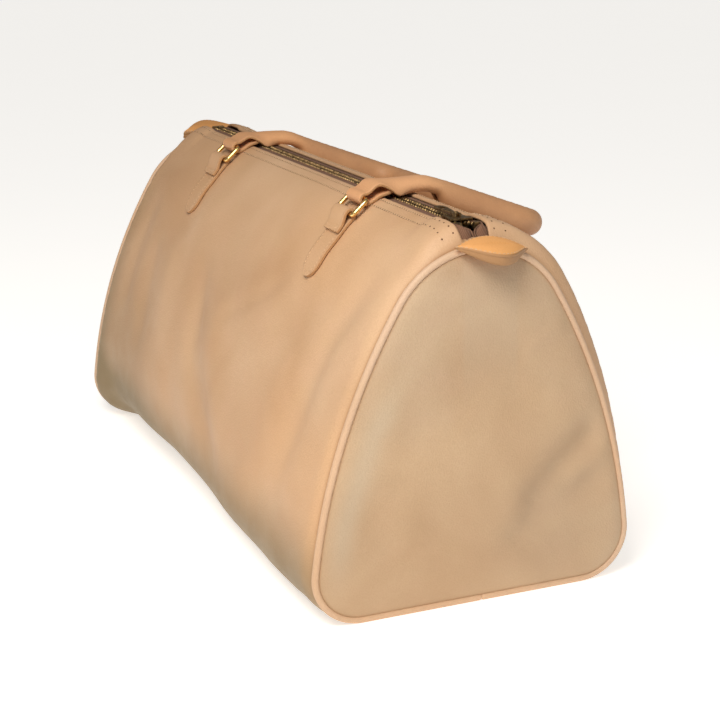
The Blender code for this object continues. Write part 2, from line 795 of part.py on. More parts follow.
def make_handle_meshes():
    """Leather rolled from a flat strap into a tube, and the rope inside it."""
    stations = whole_handle_stations()
    wrap_angle = math.radians(handle_wrap_angle)
    section_shares = np.linspace(-0.5, 0.5, 13)
    outer, inner, centres, ways, across = [], [], [], [], []
    for place, forward, up_way, roll in stations:
        share = smooth_step(roll)
        angle = wrap_angle * max(share, flat_share)
        width = strap_width + (wrap_angle * handle_radius - strap_width) * share
        radius = width / angle
        aside = np.cross(forward, up_way)
        for part in section_shares:
            turn = angle * part
            for points, wall in ((outer, 0.0), (inner, strap_leather)):
                points.append(place + (radius - wall) * math.sin(turn) * aside
                              - (radius - (radius - wall) * math.cos(turn)) * up_way)
        if share >= 1.0:
            centres.append(place - handle_radius * up_way)
            ways.append(up_way)
            across.append(aside)
    faces = grid_faces(len(stations), len(section_shares))
    cover = thick_mesh("handle_cover", outer, inner, faces)
    rope_radius = handle_radius - strap_leather - core_gap
    sides = 8
    points = []
    for centre, way, aside in zip(centres, ways, across):
        for step in range(sides):
            turn = 2.0 * math.pi * step / sides
            points.append(centre + rope_radius * (math.cos(turn) * way + math.sin(turn) * aside))
    faces = grid_faces(len(centres), sides, closed=True)
    faces += [tuple(range(sides)), tuple(range(len(points) - sides, len(points)))]
    return cover, make_mesh("handle_core", points, faces)


def make_axis(name, place, turn):
    """Empty on a joint's axis, which carries what turns about it."""
    axis = bpy.data.objects.new(name, None)
    bpy.context.scene.collection.objects.link(axis)
    axis.location = place
    axis.rotation_euler.x = math.radians(turn)
    return axis


def make_handle_side(side, rear, bar_run, ring_lean, handle_lean, shared):
    """Chapes, rings, cover and core of the handle on one panel."""
    ring_mesh, cover_mesh, core_mesh = shared
    chape_mesh = make_chape_mesh(f"{side}_chape", rear, bar_run)
    bar = bar_place(rear, bar_run)
    for end, sign in (("right", 1.0), ("left", -1.0)):
        shift = np.array([sign * handle_half_span, 0.0, 0.0])
        add_object(f"{side}_chape_{end}", chape_mesh, tan_leather, shift)
        add_object(f"{side}_ring_{end}", ring_mesh, bright_brass, bar + shift, ring_lean)
    lean = math.radians(ring_lean)
    held = bar + ring_pitch * np.array([0.0, math.cos(lean), math.sin(lean)])
    axis = make_axis(f"{side}_handle_axis", held, handle_lean)
    add_object(f"{side}_handle_cover", cover_mesh, tan_leather, parent=axis)
    add_object(f"{side}_handle_core", core_mesh, rope_cotton, parent=axis)
    print(side, "ring axis", np.round(bar, 5), "handle axis", np.round(held, 5))


def make_board():
    """Stiff board that lies on the base inside the bag."""
    half_length = wrap_half_length - board_end_margin
    half_width = corner_centre[0] - board_side_margin
    low = leather + seat_gap
    mesh = box_mesh("board", (-half_length, -half_width, low),
                    (half_length, half_width, low + board_thickness))
    add_object("base_board", mesh, grey_board)


make_wrap()
for side_name, side_sign in (("right", 1.0), ("left", -1.0)):
    make_piping(side_name, side_sign * bag_length / 2)
    make_end_panel(side_name, side_sign)
make_tab("right", 1.0, right_tab_shift, right_tab_slope, right_tab_lift)
make_tab("left", -1.0, left_tab_shift, left_tab_slope, left_tab_lift)
for side_name, side_sign in (("front", -1.0), ("rear", 1.0)):
    make_teeth(side_name, side_sign)
    make_tape(side_name, side_sign)
make_stops()
make_slider()
make_pull()
make_board()
shared_meshes = (make_ring_mesh(), *make_handle_meshes())
make_handle_side("front", False, front_bar_run, front_ring_lean, front_handle_lean, shared_meshes)
make_handle_side("rear", True, rear_bar_run, rear_ring_lean, rear_handle_lean, shared_meshes)
print("slider axis", slider_place, 0.0, round(pull_axis_height, 5), "zip height", round(zip_height, 5))
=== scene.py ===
# %% [markdown]
# # A small leather holdall
#
# One long hide makes the front, the base and the back, and a rounded triangle of leather
# closes each end. A zip runs along the top, and two rolled handles hang from brass rings.
# The solid model gives every piece its size and place. This lesson makes the surfaces
# that a person sees around those solids. Lengths are in metres.

# %% Load the solid model
import math

import bmesh
import bpy
import numpy as np
from mathutils import Matrix, Vector


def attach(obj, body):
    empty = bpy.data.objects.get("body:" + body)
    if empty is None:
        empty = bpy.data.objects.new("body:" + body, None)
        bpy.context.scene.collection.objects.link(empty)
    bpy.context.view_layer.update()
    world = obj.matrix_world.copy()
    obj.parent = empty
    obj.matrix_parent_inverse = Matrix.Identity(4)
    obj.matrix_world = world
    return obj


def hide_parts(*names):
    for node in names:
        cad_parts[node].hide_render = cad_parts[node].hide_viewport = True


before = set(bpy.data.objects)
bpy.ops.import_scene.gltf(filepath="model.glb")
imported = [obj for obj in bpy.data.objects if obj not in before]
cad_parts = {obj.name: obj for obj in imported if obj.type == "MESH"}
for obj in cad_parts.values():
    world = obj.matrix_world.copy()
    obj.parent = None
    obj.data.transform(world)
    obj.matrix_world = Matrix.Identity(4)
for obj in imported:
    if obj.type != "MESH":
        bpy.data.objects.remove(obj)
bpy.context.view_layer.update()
scene = bpy.context.scene
mm = 0.001

# %% [markdown]
# ## The camera
#
# A camera can be placed by hand until the picture looks right, or worked out from edges
# whose real shape is known. Here the outlines of the two ends fixed it: they are one
# shape at two distances, which gives the lens and the angle together.

# %% Camera
camera_azimuth, camera_elevation, camera_roll = 66.07, 15.89, -0.275
camera_distance = 1.1845
camera_aim = Vector((0.0, 0.0260, 0.0853))
lens_length_mm, sensor_width_mm = 86.385, 36.0


def way_towards(azimuth, elevation):
    """Direction from the bag to a camera or lamp, at angles in degrees."""
    turn, rise = math.radians(azimuth), math.radians(elevation)
    return Vector((math.sin(turn) * math.cos(rise), -math.cos(turn) * math.cos(rise),
                   math.sin(rise)))


def into_scene(name, data):
    """Make an object from its data and link it."""
    made = bpy.data.objects.new(name, data)
    scene.collection.objects.link(made)
    return made


camera_data = bpy.data.cameras.new("camera")
camera_data.lens, camera_data.sensor_width = lens_length_mm, sensor_width_mm
camera_data.clip_start = 0.01
camera = into_scene("camera", camera_data)
towards_camera = way_towards(camera_azimuth, camera_elevation)
facing = (-towards_camera).to_track_quat("-Z", "Y").to_matrix()
facing = facing @ Matrix.Rotation(math.radians(camera_roll), 3, "Z")
camera_place = Matrix.Translation(camera_aim + camera_distance * towards_camera)
camera.matrix_world = camera_place @ facing.to_4x4()
scene.camera = camera
print("camera at", [round(place, 3) for place in camera.matrix_world.translation])

# %% [markdown]
# ## Short helpers for node trees
#
# A material is a small graph of nodes, which can be drawn by hand or built in code. One
# helper here makes a node, fills its inputs and gives back the output that is used next.

# %% Node helpers


def fill(tree, node, inputs):
    """Set a node's inputs, each to a value or to another node's output."""
    for name, value in inputs.items():
        if isinstance(value, bpy.types.NodeSocket):
            tree.links.new(value, node.inputs[name])
        else:
            node.inputs[name].default_value = value


def add_node(tree, kind, inputs, take=0, **settings):
    """Add a node and give back one of its outputs."""
    made = tree.nodes.new(kind)
    for name, value in settings.items():
        setattr(made, name, value)
    fill(tree, made, inputs)
    return made.outputs[take]


def mix_colours(tree, factor, first, second):
    """Blend two colours, each a tuple or an output, by a factor."""
    colours = [(*colour, 1.0) if isinstance(colour, tuple) else colour
               for colour in (first, second)]
    return add_node(tree, "ShaderNodeMix", dict(zip((0, 6, 7), (factor, *colours))), 2,
                    data_type="RGBA")


def multiply(tree, first, second, clamp=False):
    return add_node(tree, "ShaderNodeMath", {0: first, 1: second}, operation="MULTIPLY",
                    use_clamp=clamp)


def to_range(tree, value, low, high, new_low=0.0, new_high=1.0):
    """Stretch a part of a value's range onto a new range."""
    names = ("Value", "From Min", "From Max", "To Min", "To Max")
    return add_node(tree, "ShaderNodeMapRange",
                    dict(zip(names, (value, low, high, new_low, new_high))))


def start_material(name):
    material = bpy.data.materials.new(name)
    material.use_nodes = True
    tree = material.node_tree
    place = tree.nodes.new("ShaderNodeTexCoord").outputs["Object"]
    return material, tree, tree.nodes["Principled BSDF"], place


def noise(tree, place, scale, detail=3.0, rough=0.5, twist=0.0):
    return add_node(tree, "ShaderNodeTexNoise", {
        "Vector": place, "Scale": scale, "Detail": detail, "Roughness": rough,
        "Distortion": twist}, "Fac")


def bump(tree, height, depth, strength, **normal):
    return add_node(tree, "ShaderNodeBump", {
        "Height": height, "Distance": depth, "Strength": strength, **normal})


def numbers_of(tree, name):
    """The numbers that a mesh carries at its points under a name."""
    return add_node(tree, "ShaderNodeAttribute", {}, "Fac", attribute_name=name)


print("helpers are ready")

# %% [markdown]
# ## Floor and light
#
# A plain floor and soft light show the shape. A round lamp close to the camera is bright
# on what is near and dims towards the far end, which draws the form. A wide sun and a
# pale sky keep the floor light, and the floor glows a little, as a lit backdrop does.

# %% Floor, lights and sky
floor_half_width, floor_glow = 9.0, 0.60
warm_white = (1.0, 0.985, 0.96, 1.0)
lamp_watts, lamp_width, lamp_distance = 8.2, 0.50, 1.08
sun_strength, sun_softness = 0.52, math.radians(50.0)
sky_strength = 0.20

floor_material, floor_tree, floor_shader, floor_place = start_material("pale_floor")
floor_tint = mix_colours(floor_tree, noise(floor_tree, floor_place, 7.0),
                         (0.88, 0.87, 0.85), (0.86, 0.85, 0.83))
fill(floor_tree, floor_shader, {"Base Color": floor_tint, "Roughness": 0.85,
                                "Emission Color": warm_white, "Emission Strength": floor_glow})
floor_mesh = bpy.data.meshes.new("floor")
floor_mesh.from_pydata([(x * floor_half_width, y * floor_half_width, 0.0)
                        for x, y in ((-1, -1), (1, -1), (1, 1), (-1, 1))], [], [(0, 1, 2, 3)])
floor_mesh.materials.append(floor_material)
floor = into_scene("floor", floor_mesh)


def add_lamp(name, kind, way, strength, colour):
    """A lamp that shines along a way on the place the camera looks at."""
    light = bpy.data.lights.new(name, kind)
    light.energy, light.color = strength, colour
    lamp = into_scene(name, light)
    lamp.rotation_euler = way.to_track_quat("Z", "Y").to_euler()
    lamp.location = camera_aim + lamp_distance * way
    return light


near_lamp = add_lamp("near_lamp", "AREA", way_towards(50.0, 44.0), lamp_watts, (1.0, 0.96, 0.91))
near_lamp.shape, near_lamp.size = "DISK", lamp_width
window = add_lamp("window", "SUN", way_towards(85.0, 50.0), sun_strength, (1.0, 0.97, 0.93))
window.angle = sun_softness
sky = bpy.data.worlds.new("sky")
sky.use_nodes = True
fill(sky.node_tree, sky.node_tree.nodes["Background"],
     {"Color": warm_white, "Strength": sky_strength})
scene.world = sky
scene.view_settings.view_transform = "Standard"
print("lamp watts", lamp_watts, "sun strength", sun_strength, "sky strength", sky_strength)

# %% [markdown]
# ## Leather
#
# Vegetable-tanned leather is pale where it is new and orange-brown where hands and edges
# rub it. A picture wrapped round the bag would have one size and one light in it, but a
# graph of noise keeps its detail at any size. Each mesh carries three numbers at its
# points: how far the surface has darkened, by wear and in places by painted shade; how far
# it has another colour, which is painted shade on the hide and painted shade, a painted
# highlight and a greyer band on the ends; and edge, which is 1 on a cut edge.

# %% Leather material
# Tints for the second number: a dark brown of painted shade on the hide, and a pale grey for the
# ends' painted highlight, painted shade and greyer band
painted_shade_brown = (0.215, 0.160, 0.078)
grey_highlight_and_shade_tint = (0.500, 0.415, 0.300)


def make_leather(name, pale, deep, wear_and_shade_colour, edge_colour, grain=1.0, light_and_shade_tint=painted_shade_brown):
    """Leather with clouded colour, fine grain, darker worn and cut edges, and painted light and
    shade.
    """
    material, tree, shader, place = start_material(name)
    rosy, warm = (tuple(channel * tint for channel, tint in zip(pale, tints))
                  for tints in ((0.96, 0.90, 0.97), (1.04, 0.91, 0.76)))
    clouds = noise(tree, place, 13.0, 2.0, 0.5, 0.4)
    blotches = to_range(tree, noise(tree, place, 62.0, 4.0, 0.6), 0.35, 0.75)
    drifts = noise(tree, place, 7.0, 1.0, 0.5, 0.8)
    pores = add_node(tree, "ShaderNodeTexVoronoi",
                     {"Vector": place, "Scale": 950.0, "Randomness": 1.0}, "Distance")
    patchy = to_range(tree, blotches, 0.0, 1.0, 0.8, 1.2)
    colour = pale
    for share, tint in (
            (to_range(tree, clouds, 0.32, 0.70), deep),
            (to_range(tree, blotches, 0.0, 1.0, 0.0, 0.35), rosy),
            (to_range(tree, drifts, 0.46, 0.66, 0.0, 0.40), warm),
            (to_range(tree, pores, 0.15, 0.75, 0.10, 0.0), wear_and_shade_colour),
            # Wear and painted shade darken towards one brown; painted shade and a painted highlight
            # tint towards another colour
            (multiply(tree, numbers_of(tree, "wear_and_shade"), patchy, True), wear_and_shade_colour),
            (numbers_of(tree, "shade_and_highlight_tint"), light_and_shade_tint), (numbers_of(tree, "edge"), edge_colour)):
        colour = mix_colours(tree, share, colour, tint)
    wrinkles = bump(tree, noise(tree, place, 210.0, 5.0, 0.62, 0.9), 0.0006, 0.30 * grain)
    fill(tree, shader, {
        "Base Color": colour, "Roughness": to_range(tree, blotches, 0.0, 1.0, 0.50, 0.64),
        "Normal": bump(tree, pores, 0.0003, 0.35 * grain, Normal=wrinkles),
        "Specular IOR Level": 0.35})
    return material


# A brown for wear and for painted shade, and a brown for cut edges
wear_and_shade_brown, cut_edge = (0.350, 0.175, 0.075), (0.420, 0.225, 0.100)
body_leather = make_leather("body_leather", (0.640, 0.420, 0.248), (0.530, 0.318, 0.168),
                            wear_and_shade_brown, cut_edge)
handle_leather = make_leather("handle_leather", (0.700, 0.385, 0.190), (0.590, 0.310, 0.150),
                              (0.340, 0.165, 0.075), cut_edge)
end_leather = make_leather("end_leather", (0.530, 0.385, 0.245), (0.370, 0.244, 0.142),
                           wear_and_shade_brown, cut_edge, 1.0, grey_highlight_and_shade_tint)
piping_leather = make_leather("piping_leather", (0.640, 0.452, 0.305), (0.560, 0.375, 0.235),
                              wear_and_shade_brown, cut_edge, 0.7)
tab_leather = make_leather("tab_leather", (0.790, 0.400, 0.140), (0.690, 0.330, 0.108),
                           (0.460, 0.210, 0.065), (0.360, 0.190, 0.080), 0.7)
print("leathers: body, handle, end, piping and tab")

# %% [markdown]
# ## Metal, cloth, thread and board
#
# The zip is old brass that has browned in its hollows, and the rings are brighter. The
# tape is a twill: two crossed waves make its fine ribs. Thread is nearly the leather's
# own colour.

# %% Metal and cloth materials


def make_brass(name, bright, dull, roughness):
    """Brass with brown tarnish in soft patches and faint scratches."""
    material, tree, shader, place = start_material(name)
    tarnish = to_range(tree, noise(tree, place, 420.0, 4.0, 0.65), 0.38, 0.66)
    fill(tree, shader, {
        "Base Color": mix_colours(tree, tarnish, bright, dull), "Metallic": 1.0,
        "Roughness": to_range(tree, tarnish, 0.0, 1.0, roughness, roughness + 0.22),
        "Normal": bump(tree, noise(tree, place, 2400.0, 2.0), 0.00004, 0.35)})
    return material


def make_twill(name, light, dark, rib_scale, depth):
    """Woven cloth whose ribs run along X and slant across it."""
    material, tree, shader, place = start_material(name)
    along, slant = (add_node(tree, "ShaderNodeTexWave", {"Vector": place, "Scale": scale}, "Fac",
                             wave_type="BANDS", bands_direction=way)
                    for scale, way in ((rib_scale, "Y"), (rib_scale * 0.7, "DIAGONAL")))
    weave = multiply(tree, along, slant)
    fill(tree, shader, {
        "Base Color": mix_colours(tree, weave, dark, light),
        "Roughness": to_range(tree, weave, 0.0, 1.0, 0.95, 0.8),
        "Normal": bump(tree, weave, depth, 0.6), "Sheen Weight": 0.05,
        "Specular IOR Level": 0.10})
    return material


old_brass = make_brass("old_brass", (0.40, 0.26, 0.115), (0.07, 0.038, 0.020), 0.36)
bright_brass = make_brass("bright_brass", (0.93, 0.66, 0.27), (0.70, 0.44, 0.15), 0.16)
tape_cloth = make_twill("tape_cloth", (0.29, 0.160, 0.100), (0.16, 0.080, 0.048), 700.0, 0.0002)
rope_cotton = make_twill("rope_cotton", (0.74, 0.68, 0.55), (0.55, 0.48, 0.36), 160.0, 0.0004)
grey_board = make_twill("grey_board", (0.30, 0.26, 0.22), (0.25, 0.215, 0.18), 60.0, 0.0001)
thread = make_twill("thread", (0.82, 0.60, 0.40), (0.56, 0.36, 0.20), 1300.0, 0.0001)
# Needle holes are dark beads whose colour is painted shade inside each hole
needle_hole = make_twill("needle_hole", (0.16, 0.075, 0.030), (0.08, 0.036, 0.015), 900.0, 0.0001)
print("other finishes: brass, twill tape, rope, board and thread")

# %% [markdown]
# ## Meshes from rows of points
#
# Most pieces here are a grid of points, worked out from a formula, with a thickness. The
# helpers join a grid into quads, close it into a shell or a tube, and hand the finished
# mesh to the body that carries it.

# %% Mesh helpers
weld_distance = 0.00001


def ease(value, start=0.0, length=1.0):
    """A smooth step from 0 at the start to 1 a length further, which may be negative."""
    share = np.clip((value - start) / length, 0.0, 1.0)
    return share * share * (3.0 - 2.0 * share)


def between(value, start, rise, end, fall):
    """A smooth step up from the start, and another down to the end."""
    return ease(value, start, rise) * ease(value, end, -fall)


def points_of(*coordinates):
    """Points from two or three coordinates, each an array or a number."""
    return np.stack(np.broadcast_arrays(*coordinates), -1)


def circle(sides):
    """Angles round a circle, one for each side."""
    return 2.0 * np.pi * np.arange(sides) / sides


def finished_mesh(name, points, faces, values):
    """A clean, smooth mesh that faces outwards and carries numbers at its points."""
    mesh = bpy.data.meshes.new(name)
    mesh.from_pydata(points.reshape(-1, 3).tolist(), [], faces)
    for key, numbers in values.items():
        layer = mesh.attributes.new(key, "FLOAT", "POINT")
        spread = np.broadcast_to(numbers, points.shape[:-1])
        layer.data.foreach_set("value", spread.astype(np.float32).ravel())
    form = bmesh.new()
    form.from_mesh(mesh)
    loose = [vert for vert in form.verts if not vert.link_faces]
    bmesh.ops.delete(form, geom=loose, context="VERTS")
    bmesh.ops.recalc_face_normals(form, faces=form.faces)
    form.to_mesh(mesh)
    form.free()
    mesh.shade_smooth()
    return mesh


def grid_quads(rows, columns, closed_rows=False, closed_columns=False, keep=None):
    """Quads of a grid of points that may close on itself either way."""
    quads = []
    for row in range(rows if closed_rows else rows - 1):
        for column in range(columns if closed_columns else columns - 1):
            if keep is None or keep(row, column):
                below, after = (row + 1) % rows, (column + 1) % columns
                quads.append((row * columns + column, row * columns + after,
                              below * columns + after, below * columns + column))
    return quads


def shell(name, outer, inner, values={}, closed_columns=False, keep=None, caps=()):
    """Close the space between an outer and an inner grid, with walls at open edges."""
    rows, columns = outer.shape[:2]
    faces = grid_quads(rows, columns, False, closed_columns, keep) + list(caps)
    count = rows * columns
    edges = {pair for face in faces for pair in zip(face, face[1:] + face[:1])}
    walls = [(b, a, count + a, count + b) for a, b in sorted(edges) if (b, a) not in edges]
    behind = [tuple(count + index for index in reversed(face)) for face in faces]
    return finished_mesh(name, np.stack([outer, inner]), faces + behind + walls, values)


def tube(name, rings, values={}, closed=False):
    """A tube through rings of points, capped at its ends unless it is a closed loop."""
    rows, columns = rings.shape[:2]
    faces = grid_quads(rows, columns, closed, True)
    if not closed:
        first = (rows - 1) * columns
        faces += [tuple(range(columns)), tuple(range(first, first + columns))]
    return finished_mesh(name, rings, faces, values)


def add_piece(name, mesh, material, stands_for=None, body="bag"):
    """Put a finished mesh in the scene, on the body that carries it."""
    if material:
        mesh.materials.append(material)
    piece = into_scene(name, mesh)
    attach(piece, body)
    if stands_for:
        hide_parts(stands_for)
    print(name, "has", len(mesh.polygons), "faces")
    return piece


def dressed_copy(node, name, material, bevel_width, body="bag"):
    """A copy of a solid with its corners softened, which stands for it."""
    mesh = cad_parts[node].data.copy()
    form = bmesh.new()
    form.from_mesh(mesh)
    bmesh.ops.remove_doubles(form, verts=form.verts, dist=weld_distance)
    bmesh.ops.dissolve_limit(form, angle_limit=math.radians(1.0), verts=form.verts,
                             edges=form.edges)
    form.to_mesh(mesh)
    form.free()
    mesh.materials.clear()
    mesh.shade_smooth()
    bevel = add_piece(name, mesh, material, node, body).modifiers.new("corners", "BEVEL")
    bevel.width, bevel.segments, bevel.harden_normals = bevel_width, 2, True
    bevel.limit_method, bevel.angle_limit = "ANGLE", math.radians(30.0)


print("mesh helpers are ready")

# %% [markdown]
# ## The shape of the bag's end
#
# Seen from its end, the bag is a triangle with round corners: an arc over the zip, a
# long flat arc down each side, a tighter arc at each lower corner, and a flat base. The
# arcs touch without a kink, so two of them fix the place of the third. A place on the
# outline is given by its run, the distance along it from the top.

# %% Outline of the end
bag_length, bag_height, base_width = 0.442, 0.210, 0.201
apex_radius, side_radius, corner_radius = 0.0574, 0.366, 0.0295

apex_centre = np.array([0.0, bag_height - apex_radius])
corner_centre = np.array([base_width / 2 - corner_radius, corner_radius])
corner_span = np.linalg.norm(corner_centre - apex_centre)
span_way = (corner_centre - apex_centre) / corner_span
apex_reach, corner_reach = side_radius - apex_radius, side_radius - corner_radius
along_span = (apex_reach ** 2 - corner_reach ** 2 + corner_span ** 2) / (2 * corner_span)
aside_span = math.sqrt(apex_reach ** 2 - along_span ** 2)
side_centre = (apex_centre + along_span * span_way
               + aside_span * np.array([span_way[1], -span_way[0]]))
apex_lean = math.atan2(*(apex_centre - side_centre))
corner_lean = math.atan2(*(corner_centre - side_centre))
apex_run = apex_radius * apex_lean
side_run = apex_run + side_radius * (corner_lean - apex_lean)
corner_run = side_run + corner_radius * (math.pi - corner_lean)
base_run = corner_run + corner_centre[0]


def outline_at(run):
    """Point across and up at a run, with the direction that faces out of the bag."""
    run = np.asarray(run, float)
    parts = [run <= apex_run, run <= side_run, run <= corner_run]
    lean = np.select(parts, [run / apex_radius, apex_lean + (run - apex_run) / side_radius,
                             corner_lean + (run - side_run) / corner_radius], math.pi)
    radius = np.select(parts, [apex_radius, side_radius, corner_radius], 0.0)
    centre_y, centre_z = (
        np.select(parts, [apex_centre[axis], side_centre[axis], corner_centre[axis]], beyond)
        for axis, beyond in ((0, base_run - run), (1, 0.0)))
    out_y, out_z = np.sin(lean), np.cos(lean)
    return centre_y + radius * out_y, centre_z + radius * out_z, out_y, out_z


def off_base(run):
    """Share that is 0 on the flat base and 1 on the sides and top."""
    return ease(run, corner_run, side_run - corner_run)


print("half outline in mm:", round(base_run / mm, 1), "side ends at", round(side_run / mm, 1))

# %% [markdown]
# ## Fullness and sag of the hide
#
# A bag with nothing stiff in it swells behind its piping, sinks at the back where the
# handle rests and tucks in at the lower front edge. Sculpting could do this by eye.
# Smooth steps along the hide are easier to measure and to change. A place on the hide is
# its x and its run. Runs are negative on the front and positive on the back.

# %% Swell, sag and tuck
crown_puff, front_side_puff, rear_side_puff = 0.0118, 0.0030, 0.0070
crown_start, crown_end, puff_run = 0.005, 0.046, 0.0100
rear_sink, sink_reach, sink_fade = 0.0092, 0.195, 0.060
sink_start, sink_rise, sink_end, sink_fall = 0.010, 0.020, 0.112, 0.038
tuck_depth, tuck_above, tuck_under = 0.0105, 0.045, 0.012
tuck_start, tuck_stop, tuck_fade = 0.040, 0.150, 0.220
leather_thickness, seat_gap, piping_radius = 0.0022, 0.0003, 0.0021
hide_half_length = bag_length / 2 - piping_radius - seat_gap


def tuck_at(x, run):
    """How far the soft lower corner falls back from the end outline."""
    peak = (side_run + corner_run) / 2
    first, last = side_run - tuck_above, corner_run + tuck_under
    return (tuck_depth * between(run, first, peak - first, last, last - peak)
            * between(x, -hide_half_length, tuck_start, tuck_stop, tuck_fade))


def end_round(x):
    """How far the swell has fallen towards the piping, from 0 to 1."""
    return (1.0 - np.clip((hide_half_length - np.abs(x)) / puff_run, 0.0, 1.0)) ** 2


def swell_at(x, run, rear):
    """How far the hide's outside stands beyond the end outline."""
    side_puff = np.where(rear, rear_side_puff, front_side_puff)
    start, end = np.where(rear, apex_run, crown_start), np.where(rear, side_run, crown_end)
    puff = side_puff + (crown_puff - side_puff) * ease(run, end, start - end)
    sink = (rear_sink * ease(np.abs(x), sink_reach, -sink_fade)
            * between(run, sink_start, sink_rise, sink_end, sink_fall))
    return ((1.0 - end_round(x)) * off_base(run) * puff - np.where(rear, sink, 0.0)
            - tuck_at(x, run))


print("swell over the zip in mm:", round(float(swell_at(0.0, 0.0, False)) / mm, 1))

# %% [markdown]
# ## Folds drawn on the hide
#
# Folds could come from a cloth simulation, but these have to lie where they are seen on
# the real bag. So each fold is a line drawn with a half width and a height, and the
# surface is pushed in or out along it, as a sculptor would.

# %% Folds drawn on the hide
slot_half_width, slot_half_length = 0.0095, 0.2160
crown_radius = apex_radius + crown_puff
slot_run = apex_radius * math.asin(slot_half_width / crown_radius)
line_fade = 0.3

# Each fold, in mm: its line as (x, run) points, its half width and its height
front_folds = [
    ([(-66, 76), (-40, 107), (-19, 149), (10, 175), (42, 199), (62, 228)], 13, -3.0),
    ([(-24, 104), (6, 124), (40, 167), (66, 195), (85, 222)], 15, 1.6),
    ([(186, 30), (185, 60), (172, 89), (165, 133), (160, 161), (156, 200)], 12, -2.6),
    ([(140, 90), (130, 130), (126, 170), (120, 205)], 17, 1.4),
    ([(87, 70), (70, 87), (36, 105), (4, 122)], 7, -1.3),
    ([(-36, 142), (-20, 156), (-6, 168)], 3.5, -0.6),
    ([(-150, 85), (-135, 130), (-120, 185)], 12, -1.8),
    ([(-185, 60), (-178, 110), (-172, 170)], 11, -1.6),
    ([(-112, 80), (-100, 120), (-80, 170)], 14, 1.2),
    ([(206, 236), (196, 240), (184, 238)], 2.8, -0.9),
    ([(60, 226), (100, 238), (150, 240)], 6, -1.0)]
rear_folds = [
    ([(70, 120), (40, 160), (15, 205), (10, 232)], 13, -2.4),
    ([(100, 115), (80, 160), (62, 205)], 15, 1.3),
    ([(-165, 60), (-160, 110), (-150, 170), (-140, 215)], 12, -2.2),
    ([(-80, 110), (-50, 135), (-10, 150)], 8, -1.2),
    ([(176, 70), (170, 120), (160, 180)], 12, -1.8),
    ([(-90, 160), (-75, 190), (-70, 220)], 14, 1.2)]


def near_line(first, second, line, half_width):
    """Nearness of places to a line in mm, from 1 on it to 0, fading at the line's ends."""
    corners = mm * np.array(line, float)
    steps = np.diff(corners, axis=0)
    lengths = np.linalg.norm(steps, axis=1)
    before = np.concatenate([[0.0], np.cumsum(lengths)])
    nearest = np.zeros(np.broadcast(first, second).shape)
    for corner, step, length, start in zip(corners, steps, lengths, before):
        away = first - corner[0], second - corner[1]
        share = np.clip((away[0] * step[0] + away[1] * step[1]) / length ** 2, 0.0, 1.0)
        gap = np.hypot(away[0] - share * step[0], away[1] - share * step[1])
        travelled = (start + share * length) / before[-1]
        fade = between(travelled, 0.0, line_fade, 1.0, line_fade)
        nearest = np.maximum(nearest, np.exp(-(gap / (mm * half_width)) ** 2) * fade)
    return nearest


def drawn(first, second, folds):
    """Height of all the folds of a list at a place."""
    return sum(mm * height * near_line(first, second, line, half_width)
               for line, half_width, height in folds)


# The hide lies still under the sewn straps, beside the zip and along the seams
handle_half_span, chape_half_width, still_margin = 0.110, 0.0100, 0.016
front_strap_end, rear_strap_start, rear_strap_end = 0.078, 0.052, 0.112
seam_margin, hem_margin = 0.018, 0.020
wave_height, ripple_height, pucker_height = 0.0007, 0.0004, 0.00022
# The hide stands up in a lobe on each side of the zip's mouth
lobe_lift, lobe_run, lobe_fade = 0.0015, 0.034, 0.022
lobe_start, lobe_rise, lobe_end, lobe_fall = 0.184, 0.007, 0.214, 0.012


def freedom_at(x, run, rear):
    """Share that is 0 where something holds the hide flat, and 1 where it hangs free."""
    beside = ease(np.abs(np.abs(x) - handle_half_span), chape_half_width, still_margin)
    beyond = (ease(run, np.where(rear, rear_strap_end, front_strap_end), still_margin)
              + ease(run, np.where(rear, rear_strap_start, 0.0), -still_margin))
    held = (1.0 - beside) * (1.0 - np.clip(beyond, 0.0, 1.0))
    return ((1.0 - held) * ease(hide_half_length - np.abs(x), 0.0, seam_margin)
            * ease(run, slot_run, hem_margin) * off_base(run))


def folds_at(x, run, rear):
    """Height of folds, puckers and slow waves at a place on the hide."""
    folds = np.where(rear, drawn(x, run, rear_folds), drawn(x, run, front_folds))
    waves = (wave_height * np.sin(31.0 * x + 17.0 * run + 0.6) * np.sin(23.0 * run - 9.0 * x + 1.9)
             + ripple_height * np.sin(67.0 * x - 41.0 * run) * np.sin(53.0 * run + 1.1))
    pucker = (pucker_height * between(hide_half_length - np.abs(x), 0.0, 0.003, 0.016, 0.013)
              * np.sin(690.0 * run + 3.0 * np.sin(60.0 * run)) * np.sin(210.0 * run + 0.8))
    lobe = (lobe_lift * ease(run, lobe_run, -lobe_fade)
            * between(np.abs(x), lobe_start, lobe_rise, lobe_end, lobe_fall))
    return freedom_at(x, run, rear) * (folds + waves) + pucker * off_base(run) + lobe


def hide_point(x, signed_run, height=0.0):
    """Point on the outside of the hide, or above it."""
    rear, run = np.asarray(signed_run) > 0.0, np.abs(signed_run)
    y, z, out_y, out_z = outline_at(run)
    lift = swell_at(x, run, rear) + folds_at(x, run, rear) + height
    side = np.where(rear, 1.0, -1.0)
    return points_of(x, side * (y + lift * out_y), z + lift * out_z)


def hide_normal(x, signed_run, step=0.0005):
    """Direction that faces away from the hide."""
    along = hide_point(x + step, signed_run) - hide_point(x - step, signed_run)
    across = hide_point(x, signed_run + step) - hide_point(x, signed_run - step)
    normal = np.cross(along, across)
    return normal / np.linalg.norm(normal, axis=-1, keepdims=True)


print("folds drawn:", len(front_folds) + len(rear_folds))

# %% [markdown]
# ## The hide
#
# One grid covers the front, the base and the back, which a real hide does too. Its
# columns crowd together beside the zip, where the cut edge is rounded, and its rows
# crowd together at the ends, where the hide rolls down to the piping. Leaving out the
# quads over the zip leaves the long slot.

